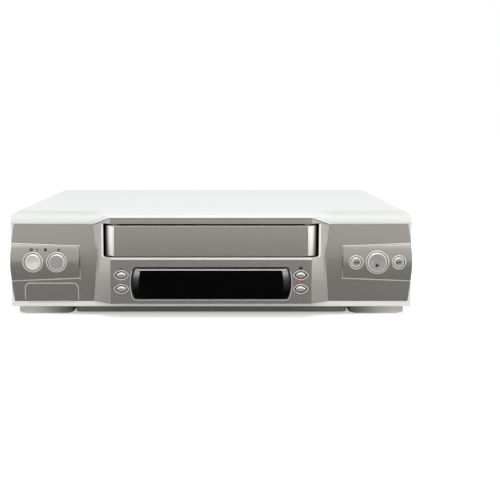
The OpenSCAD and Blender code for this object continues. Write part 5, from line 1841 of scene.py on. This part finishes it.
@dataclass
class Row:
    """A row of equal round studs or pins, made by Geometry Nodes.

    Attributes:
        count: How many there are.
        step: Way from one to the next, in metres.
        radius: Radius of one.
        height: Height of one along its axis, which runs from front to back.
        domed: Whether they are domes and not straight pins.
    """

    count: int
    step: tuple[float, float, float]
    radius: float
    height: float
    domed: bool = True

    @staticmethod
    @cache
    def tree(domed: bool) -> bpy.types.NodeTree:
        """Builds the tree that puts studs along a line.

        Args:
            domed: Whether the studs are domes and not straight pins.

        Returns:
            The tree, with named inputs for its sizes.
        """
        tree = bpy.data.node_groups.new("row_of_domes" if domed else "row_of_pins", "GeometryNodeTree")
        tree.interface.new_socket("Geometry", in_out="INPUT", socket_type="NodeSocketGeometry")
        for label, kind in (("Count", "NodeSocketInt"), ("Start", "NodeSocketVector"),
                            ("Step", "NodeSocketVector"), ("Radius", "NodeSocketFloat"),
                            ("Height", "NodeSocketFloat"), ("Turn", "NodeSocketVector"),
                            ("Finish", "NodeSocketMaterial")):
            tree.interface.new_socket(label, in_out="INPUT", socket_type=kind)
        tree.interface.new_socket("Geometry", in_out="OUTPUT", socket_type="NodeSocketGeometry")
        graph = Graph(tree)
        given, result = graph.node("NodeGroupInput"), graph.node("NodeGroupOutput")
        line = graph.node("GeometryNodeMeshLine", {
            "Count": given.outputs["Count"], "Start Location": given.outputs["Start"],
            "Offset": given.outputs["Step"]}, mode="OFFSET", count_mode="TOTAL")
        if domed:
            stud = graph.node("GeometryNodeMeshUVSphere", {"Segments": 20, "Rings": 10, "Radius": 1.0})
        else:
            stud = graph.node("GeometryNodeMeshCylinder", {"Vertices": 16, "Depth": 2.0, "Radius": 1.0})
        half = graph.math("MULTIPLY", given.outputs["Height"], 0.5)
        radius = given.outputs["Radius"]
        size = graph.node("ShaderNodeCombineXYZ", {0: radius, 1: radius, 2: half})
        spread = graph.node("GeometryNodeInstanceOnPoints", {
            "Points": line.outputs[0], "Instance": stud.outputs[0], "Rotation": given.outputs["Turn"],
            "Scale": size.outputs[0]})
        real = graph.node("GeometryNodeRealizeInstances", {0: spread.outputs[0]})
        painted = graph.node("GeometryNodeSetMaterial", {
            "Geometry": real.outputs[0], "Material": given.outputs["Finish"]})
        graph.feed(result.inputs[0], painted.outputs[0])
        return tree

    def build(self, name: str, start: Sequence[float], finish: Finish, body: str = "root"
              ) -> bpy.types.Object:
        """Builds the row as one plain piece.

        Args:
            name: Name of the piece.
            start: Middle of the first stud, in metres.
            finish: Their finish.
            body: Body that they ride on.

        Returns:
            The piece.
        """
        made = grown(name, self.tree(self.domed), {
            "Count": self.count, "Start": tuple(start), "Step": self.step, "Radius": self.radius,
            "Height": self.height, "Turn": (math.pi / 2, 0.0, 0.0), "Finish": finish.material()})
        return settled(made, body, angle=50.0)


def grown(name: str, tree: bpy.types.NodeTree, values: dict[str, object]) -> bpy.types.Object:
    """Runs a Geometry Nodes tree and keeps what it makes as a plain mesh.

    Args:
        name: Name of the piece.
        tree: The tree.
        values: Value of each named input.

    Returns:
        An object with the plain mesh, at the origin.
    """
    seed = bpy.data.meshes.new(name + "_seed")
    made = linked(name, seed)
    growth = made.modifiers.new("growth", "NODES")
    growth.node_group = tree
    for socket in tree.interface.items_tree:
        if socket.item_type == "SOCKET" and socket.in_out == "INPUT" and socket.name in values:
            growth[socket.identifier] = values[socket.name]
    plain = bpy.data.meshes.new_from_object(made.evaluated_get(bpy.context.evaluated_depsgraph_get()))
    made.modifiers.clear()
    made.data = plain
    plain.name = name
    bpy.data.meshes.remove(seed)
    return made


@dataclass
class Casing:
    """Cover, frame, feet and screws, with the plate, the screen and the washers at the back."""

    soft: tuple[tuple[str, float], ...] = (
        ("top_cover", 0.25 * MM), ("front_frame", 0.0), ("front_feet", 0.25 * MM),
        ("bottom_plate", 0.25 * MM), ("rear_panel", HAIR), ("main_frame", HAIR), ("rubber_feet", 0.4 * MM))
    plate_x: tuple[float, float] = (-34.0 * MM, 56.0 * MM)
    plate_z: tuple[float, float] = (20.0 * MM, 44.0 * MM)
    plate_t: float = 0.15 * MM
    flange_inset: float = 0.6 * MM
    flange_in: float = 186.7 * MM
    lip_end: float = 180.0 * MM
    lip_z: float = 87.6 * MM
    corner_r: float = 5.0 * MM
    screen_x: tuple[float, float] = (-44.0 * MM, 56.0 * MM)
    screen_z: tuple[float, float] = (46.5 * MM, 79.5 * MM)
    screen_t: float = 1.0 * MM
    screw_level: float = 93.0 * MM
    screw_half: float = 170.0 * MM
    washer_r: float = 4.6 * MM

    def rating_plate(self) -> None:
        """Sticks the blank rating plate with rounded corners on the back."""
        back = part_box("rear_panel")[1].y - WING_PLANE
        (low_x, high_x), (low_z, high_z) = self.plate_x, self.plate_z
        outline = rounded((low_x + high_x) / 2, (low_z + high_z) / 2, (high_x - low_x) / 2,
                          (high_z - low_z) / 2, 2 * MM)
        shape = Shape()
        shape.stack([outline, outline], [back - self.plate_t, back + self.plate_t])
        shape.piece("rating_plate", ALUMINIUM)

    def flanges(self) -> None:
        """Folds the cover's rear edges inwards, so that they close the joint beside the back."""
        low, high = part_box("top_cover")
        shell = high.x - self.flange_inset
        top = high.z - self.flange_inset
        r = self.corner_r - self.flange_inset
        right = [(self.flange_in, low.z + self.flange_inset), (shell, low.z + self.flange_inset)]
        right += arc(shell - r, top - r, r, 0, 90, 8)
        right += [(self.lip_end, top), (self.lip_end, self.lip_z), (self.flange_in, self.lip_z)]
        depths = [high.y - WING_PLANE - 0.9 * MM, high.y - WING_PLANE - 0.05 * MM]
        shape = Shape()
        for side in (-1, 1):
            outline = [(side * x, z) for x, z in right]
            shape.stack([outline, outline], depths)
        shape.piece("cover_flanges", PAINT)

    def vent_screen(self) -> None:
        """Hangs a near-black screen inside the vents of the back, as painted shade where one would see
        through them.
        """
        (low_x, high_x), (low_z, high_z) = self.screen_x, self.screen_z
        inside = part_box("rear_panel")[0].y
        shape = Shape()
        shape.box((low_x, inside - self.screen_t, low_z), (high_x, inside - self.screen_t / 2, high_z))
        # The screen is near-black as painted shade.
        shape.piece("vent_screen", RUBBER)

    def washers(self) -> None:
        """Puts a washer under each screw of the cover's rear edge."""
        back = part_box("top_cover")[1].y
        shape = Shape()
        for x in (-self.screw_half, 0.0, self.screw_half):
            shape.lathe([(3.45 * MM, 0.0), (self.washer_r, 0.0), (self.washer_r, 0.4 * MM),
                         (3.45 * MM, 0.6 * MM), (3.45 * MM, 0.0)], (x, back, self.screw_level), steps=40)
        shape.piece("screw_washers", SCREW, angle=40.0)

    def build(self) -> None:
        """Builds every piece of the casing."""
        # The bottom plate takes a darker tone as painted shade, and the front frame painted shade towards its
        # ends.
        softened_set(self.soft, 18.0, {"bottom_plate": PAN_PAINTED_SHADE, "front_frame": FRAME_PAINTED_SHADE})
        softened("case_screws", 0.12 * MM)
        self.rating_plate()
        self.flanges()
        self.vent_screen()
        self.washers()


@dataclass
class RearSockets:
    """Contacts and insulators of the sockets on the back.

    Attributes:
        levels: Levels of the lower and the upper row of sockets.
        scart_x: Middle of the two wide sockets.
        scart_floor: Depth in the frame, along Y, of the bottom of their wells.
    """

    levels: tuple[float, float] = (30.0 * MM, 52.0 * MM)
    scart_x: float = 148.0 * MM
    scart_floor: float = 128.9 * MM
    contact_pitch: float = 3.8 * MM
    contacts: int = 10
    contact_rise: float = 3.2 * MM
    contact_length: float = 8.0 * MM
    tongue: tuple[float, float] = (19.0 * MM, 1.5 * MM)
    phono_x: float = 82.0 * MM
    phono_r: float = 4.25 * MM
    aerial_x: float = -70.0 * MM
    aerial_bore: float = 3.55 * MM
    aerial_floor: float = 140.9 * MM
    mains_x: float = -150.0 * MM
    pin_half: float = 4.3 * MM
    pin_r: float = 1.2 * MM
    pin_start: float = 127.9 * MM

    def scart(self) -> None:
        """Fills the wide sockets with two rows of contacts about a tongue."""
        softened("scart_sockets", 0.2 * MM)
        tongues = Shape()
        half_x, half_z = self.tongue
        start = self.scart_x - self.contact_pitch * (self.contacts - 1) / 2
        for name, z in zip(("low", "high"), self.levels):
            tongues.box((self.scart_x - half_x, self.scart_floor - 0.2 * MM, z - half_z),
                        (self.scart_x + half_x, self.scart_floor + self.contact_length - 1 * MM, z + half_z))
            for row, side in (("lower", -1), ("upper", 1)):
                Row(self.contacts, (self.contact_pitch, 0.0, 0.0), 0.55 * MM, self.contact_length,
                    domed=False).build(
                    f"scart_{name}_{row}_contacts",
                    (start, self.scart_floor + self.contact_length / 2, z + side * self.contact_rise), GOLD)
        tongues.piece("scart_tongues", BLACK, bevel=0.2 * MM)

    def phono(self) -> None:
        """Puts a coloured collar round each audio socket, white above red."""
        softened("audio_sockets", 0.15 * MM)
        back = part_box("rear_panel")[1].y
        for name, z, finish in (("red", self.levels[0], RED_PLASTIC), ("white", self.levels[1], WHITE)):
            shape = Shape()
            r = self.phono_r
            shape.lathe([(r, -0.9 * MM), (5.9 * MM, -0.9 * MM), (5.9 * MM, 0.1 * MM), (5.6 * MM, 0.6 * MM),
                         (r + 0.3 * MM, 0.9 * MM), (r, 0.9 * MM), (r, -0.9 * MM)],
                        (self.phono_x, back, z), steps=48)
            shape.lathe(ring(1.75 * MM, 3.3 * MM, 3.4 * MM, 5.06 * MM), (self.phono_x, back, z), steps=40)
            shape.piece(f"phono_{name}_collar", finish, angle=35.0)

    def aerial(self) -> None:
        """Puts an insulator and a centre contact in each aerial socket."""
        softened("tuner_module", 0.2 * MM)
        insulators, contacts = Shape(), Shape()
        for z in self.levels:
            centre = (self.aerial_x, self.aerial_floor, z)
            insulators.lathe(ring(1.3 * MM, self.aerial_bore, 0.0, 1.6 * MM), centre, steps=40)
            contacts.lathe([(0.0, 0.0), (1.2 * MM, 0.0), (1.2 * MM, 7.4 * MM), (0.8 * MM, 8.0 * MM),
                            (0.0, 8.0 * MM)], centre, steps=24)
        insulators.piece("aerial_insulators", WHITE, angle=35.0)
        contacts.piece("aerial_contacts", GOLD, angle=35.0)

    def mains(self) -> None:
        """Plates the two pins of the mains socket."""
        softened("mains_inlet", 0.25 * MM)
        shape = Shape()
        for side in (-1, 1):
            shape.lathe([(0.0, 0.0), (self.pin_r, 0.0), (self.pin_r, 9.6 * MM), (0.9 * MM, 10.2 * MM),
                         (0.4 * MM, 10.5 * MM), (0.0, 10.6 * MM)],
                        (self.mains_x + side * self.pin_half, self.pin_start, self.levels[0]), steps=24)
        shape.piece("mains_pins", SCREW, angle=50.0)

    def build(self) -> None:
        """Builds the insides of every rear socket."""
        self.scart()
        self.phono()
        self.aerial()
        self.mains()


@dataclass(frozen=True)
class Chip:
    """One flat chip of the main board: its middle and its size along X."""

    x: float
    y: float
    length: float


@dataclass
class Boards:
    """Parts on the circuit boards."""

    soft: tuple[tuple[str, float], ...] = (
        ("main_board", HAIR), ("power_board", HAIR), ("front_board", HAIR), ("heat_sink", 0.2 * MM),
        ("display_tube", 0.4 * MM), ("av_jacks", 0.15 * MM), ("tact_switches", 0.15 * MM))
    main_chips: tuple[Chip, ...] = (
        Chip(130.0 * MM, -75.05 * MM, 24.0 * MM), Chip(158.0 * MM, -39.05 * MM, 18.0 * MM),
        Chip(134.0 * MM, 4.95 * MM, 28.0 * MM), Chip(160.0 * MM, 40.95 * MM, 14.0 * MM))
    board_top: float = 19.9 * MM
    chip_half: float = 7.0 * MM
    chip_t: float = 3.2 * MM
    pin_pitch: float = 2.0 * MM
    coil_start: float = 122.0 * MM
    coil_y: float = -17.05 * MM
    coils: int = 6
    coil_pitch: float = 11.0 * MM
    coil_r: float = 3.2 * MM
    coil_h: float = 9.0 * MM
    cans: tuple[tuple[float, float, float, float], ...] = (
        (-170.0 * MM, -43.05 * MM, 7.0 * MM, 30.0 * MM), (-152.0 * MM, -43.05 * MM, 7.0 * MM, 30.0 * MM),
        (-134.0 * MM, -41.05 * MM, 6.0 * MM, 22.0 * MM), (-124.0 * MM, 54.95 * MM, 5.0 * MM, 16.0 * MM),
        (-124.0 * MM, 70.95 * MM, 5.0 * MM, 16.0 * MM))
    vent: float = 0.35 * MM

    def chips(self) -> None:
        """Puts an epoxy body and two rows of legs on each chip."""
        bodies = Shape()
        for number, chip in enumerate(self.main_chips, 1):
            half, deep = chip.length / 2 + 0.1 * MM, self.chip_half + 0.1 * MM
            bodies.box((chip.x - half, chip.y - deep, self.board_top + 0.3 * MM),
                       (chip.x + half, chip.y + deep, self.board_top + self.chip_t + 0.1 * MM))
            count = int(chip.length / self.pin_pitch)
            start = chip.x - self.pin_pitch * (count - 1) / 2
            for row, side in (("front", -1), ("back", 1)):
                Row(count, (self.pin_pitch, 0.0, 0.0), 0.35 * MM, 2.0 * MM, domed=False).build(
                    f"chip_{number}_{row}_legs",
                    (start, chip.y + side * (self.chip_half + 0.9 * MM), self.board_top + 0.5 * MM), ZINC)
        bodies.piece("chip_bodies", BLACK, bevel=0.25 * MM)

    def windings(self) -> None:
        """Winds copper on the coils of the main board."""
        shape = Shape()
        turns = 12
        for i in range(self.coils):
            profile = [(0.0, 0.0), (self.coil_r, 0.0)]
            for k in range(turns):
                z = self.coil_h * (k + 0.5) / turns
                profile += [(self.coil_r + 0.35 * MM, z),
                            (self.coil_r + 0.1 * MM, z + self.coil_h / turns / 2)]
            profile += [(0.0, self.coil_h + 0.05 * MM)]
            shape.lathe(profile, (self.coil_start + i * self.coil_pitch, self.coil_y, self.board_top),
                        Axis.Z, 24)
        shape.piece("coil_windings", COPPER, angle=80.0)

    def capacitors(self) -> None:
        """Builds the capacitors: grooved sleeves with bare tops that carry a cross of vents, drawn as
        near-black lines of painted shade.
        """
        sleeves, tops, vents = Shape(), Shape(), Shape()
        for x, y, r, h in self.cans:
            centre = (x, y, self.board_top)
            sleeves.lathe([(0.0, 0.0), (r - 0.3 * MM, 0.0), (r, 0.4 * MM), (r, 2.0 * MM),
                           (r - 0.5 * MM, 2.5 * MM), (r - 0.5 * MM, 3.1 * MM), (r, 3.6 * MM),
                           (r, h - 0.7 * MM), (r - 0.25 * MM, h - 0.2 * MM), (r - 0.9 * MM, h),
                           (r - 1.1 * MM, h - 0.25 * MM), (0.0, h - 0.25 * MM)], centre, Axis.Z, 40)
            tops.lathe(rod(r - 1.15 * MM, h - 0.4 * MM, h - 0.12 * MM), centre, Axis.Z, 40)
            # The vent grooves are near-black boxes: painted shade.
            for wide, deep in ((r * 0.6, self.vent / 2), (self.vent / 2, r * 0.6)):
                vents.box((x - wide, y - deep, self.board_top + h - 0.2 * MM),
                          (x + wide, y + deep, self.board_top + h - 0.08 * MM))
        sleeves.piece("capacitor_sleeves", SLEEVE, "root", ("capacitors",), angle=40.0)
        tops.piece("capacitor_tops", ALUMINIUM, angle=40.0)
        vents.piece("capacitor_vents", SHADOW)

    def winding(self) -> None:
        """Wraps the transformer's coil in tape, in ridges."""
        softened("transformer", 0.3 * MM)
        low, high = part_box("transformer")
        middle = (low.x + high.x) / 2
        half, lift = 10.0 * MM, 0.15 * MM
        shape = Shape()
        bottom, top = low.z + 8 * MM, low.z + 38 * MM
        bands = 6
        for k in range(bands):
            z0 = bottom + (top - bottom) * k / bands
            z1 = z0 + (top - bottom) / bands - 0.5 * MM
            shape.box((middle - half - lift, low.y - lift / 2, z0 + 0.2 * MM),
                      (middle + half + lift, high.y + lift / 2, z1))
        shape.piece("transformer_tape", TAPE, bevel=0.3 * MM)

    def build(self) -> None:
        """Builds every part on the boards."""
        softened_set(self.soft)
        self.chips()
        self.windings()
        self.capacitors()
        self.winding()


@dataclass
class Deck:
    """Tape deck: the drum, the reels, the guides and what drives them."""

    soft: tuple[tuple[str, float], ...] = (
        ("deck_plate", HAIR), ("deck_posts", 0.15 * MM), ("drum_base", 0.2 * MM), ("head_drum", 0.2 * MM),
        ("capstan", 0.15 * MM), ("capstan_bearing", 0.2 * MM), ("clutch_pulley", 0.15 * MM),
        ("drive_belt", 0.3 * MM), ("idler_arm", 0.1 * MM), ("idler_wheel", 0.2 * MM),
        ("supply_reel", 0.2 * MM), ("take_up_reel", 0.2 * MM), ("pinch_arm", 0.12 * MM),
        ("pinch_roller", 0.3 * MM), ("left_guide", 0.15 * MM), ("right_guide", 0.15 * MM),
        ("tension_arm", 0.12 * MM), ("fixed_heads", 0.12 * MM), ("cam_gear", HAIR),
        ("loading_pinion", HAIR), ("loading_motor", 0.3 * MM))

    def build(self) -> None:
        """Softens every piece of the deck."""
        softened_set(self.soft)


@dataclass
class Tray:
    """Tray that takes the cassette in, with the frame and the slider that carry it."""

    soft: tuple[tuple[str, float], ...] = (
        ("tray_frame", HAIR), ("tray_slider", 0.2 * MM), ("cassette_tray", 0.15 * MM))
    spring_x: float = 70.0 * MM
    spring_width: float = 8.0 * MM
    spring_t: float = 0.35 * MM

    def springs(self) -> None:
        """Hangs the two leaf springs that hold a cassette down from the tray's roof."""
        low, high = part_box("cassette_tray")
        roof = high.z - 1.0 * MM
        front, back = low.y + 8 * MM, high.y - 22 * MM
        steps = 8
        shape = Shape()
        for side in (-1, 1):
            near, far = sorted((side * self.spring_x, side * (self.spring_x + self.spring_width)))
            loops = []
            for k in range(steps + 1):
                t = k / steps
                y = front + (back - front) * t
                z = roof - 0.1 * MM - 2.2 * MM * math.sin(math.pi * t)
                loops.append([(near, y, z), (far, y, z), (far, y, z - self.spring_t),
                              (near, y, z - self.spring_t)])
            shape.strip(loops)
        shape.piece("tray_springs", BRONZE, "cassette_tray", angle=40.0)

    def build(self) -> None:
        """Builds the tray's pieces."""
        softened_set(self.soft)
        self.springs()


def main() -> None:
    """Builds the recorder's looks, sub-assembly by sub-assembly."""
    logging.basicConfig(level=logging.INFO, format="%(name)s: %(message)s")
    for name in frame["nodes"]:
        dressed(name)
    surfaces = Surfaces()
    for part in (Studio(), Casing(), RearSockets(), Boards(), Deck(), Tray(), Fascia(surfaces),
                 CassetteDoor(), DisplayWindow(surfaces), KeySet(surfaces)):
        part.build()
        LOG.info("built: %s", type(part).__name__)


if __name__ == "__main__":
    main()
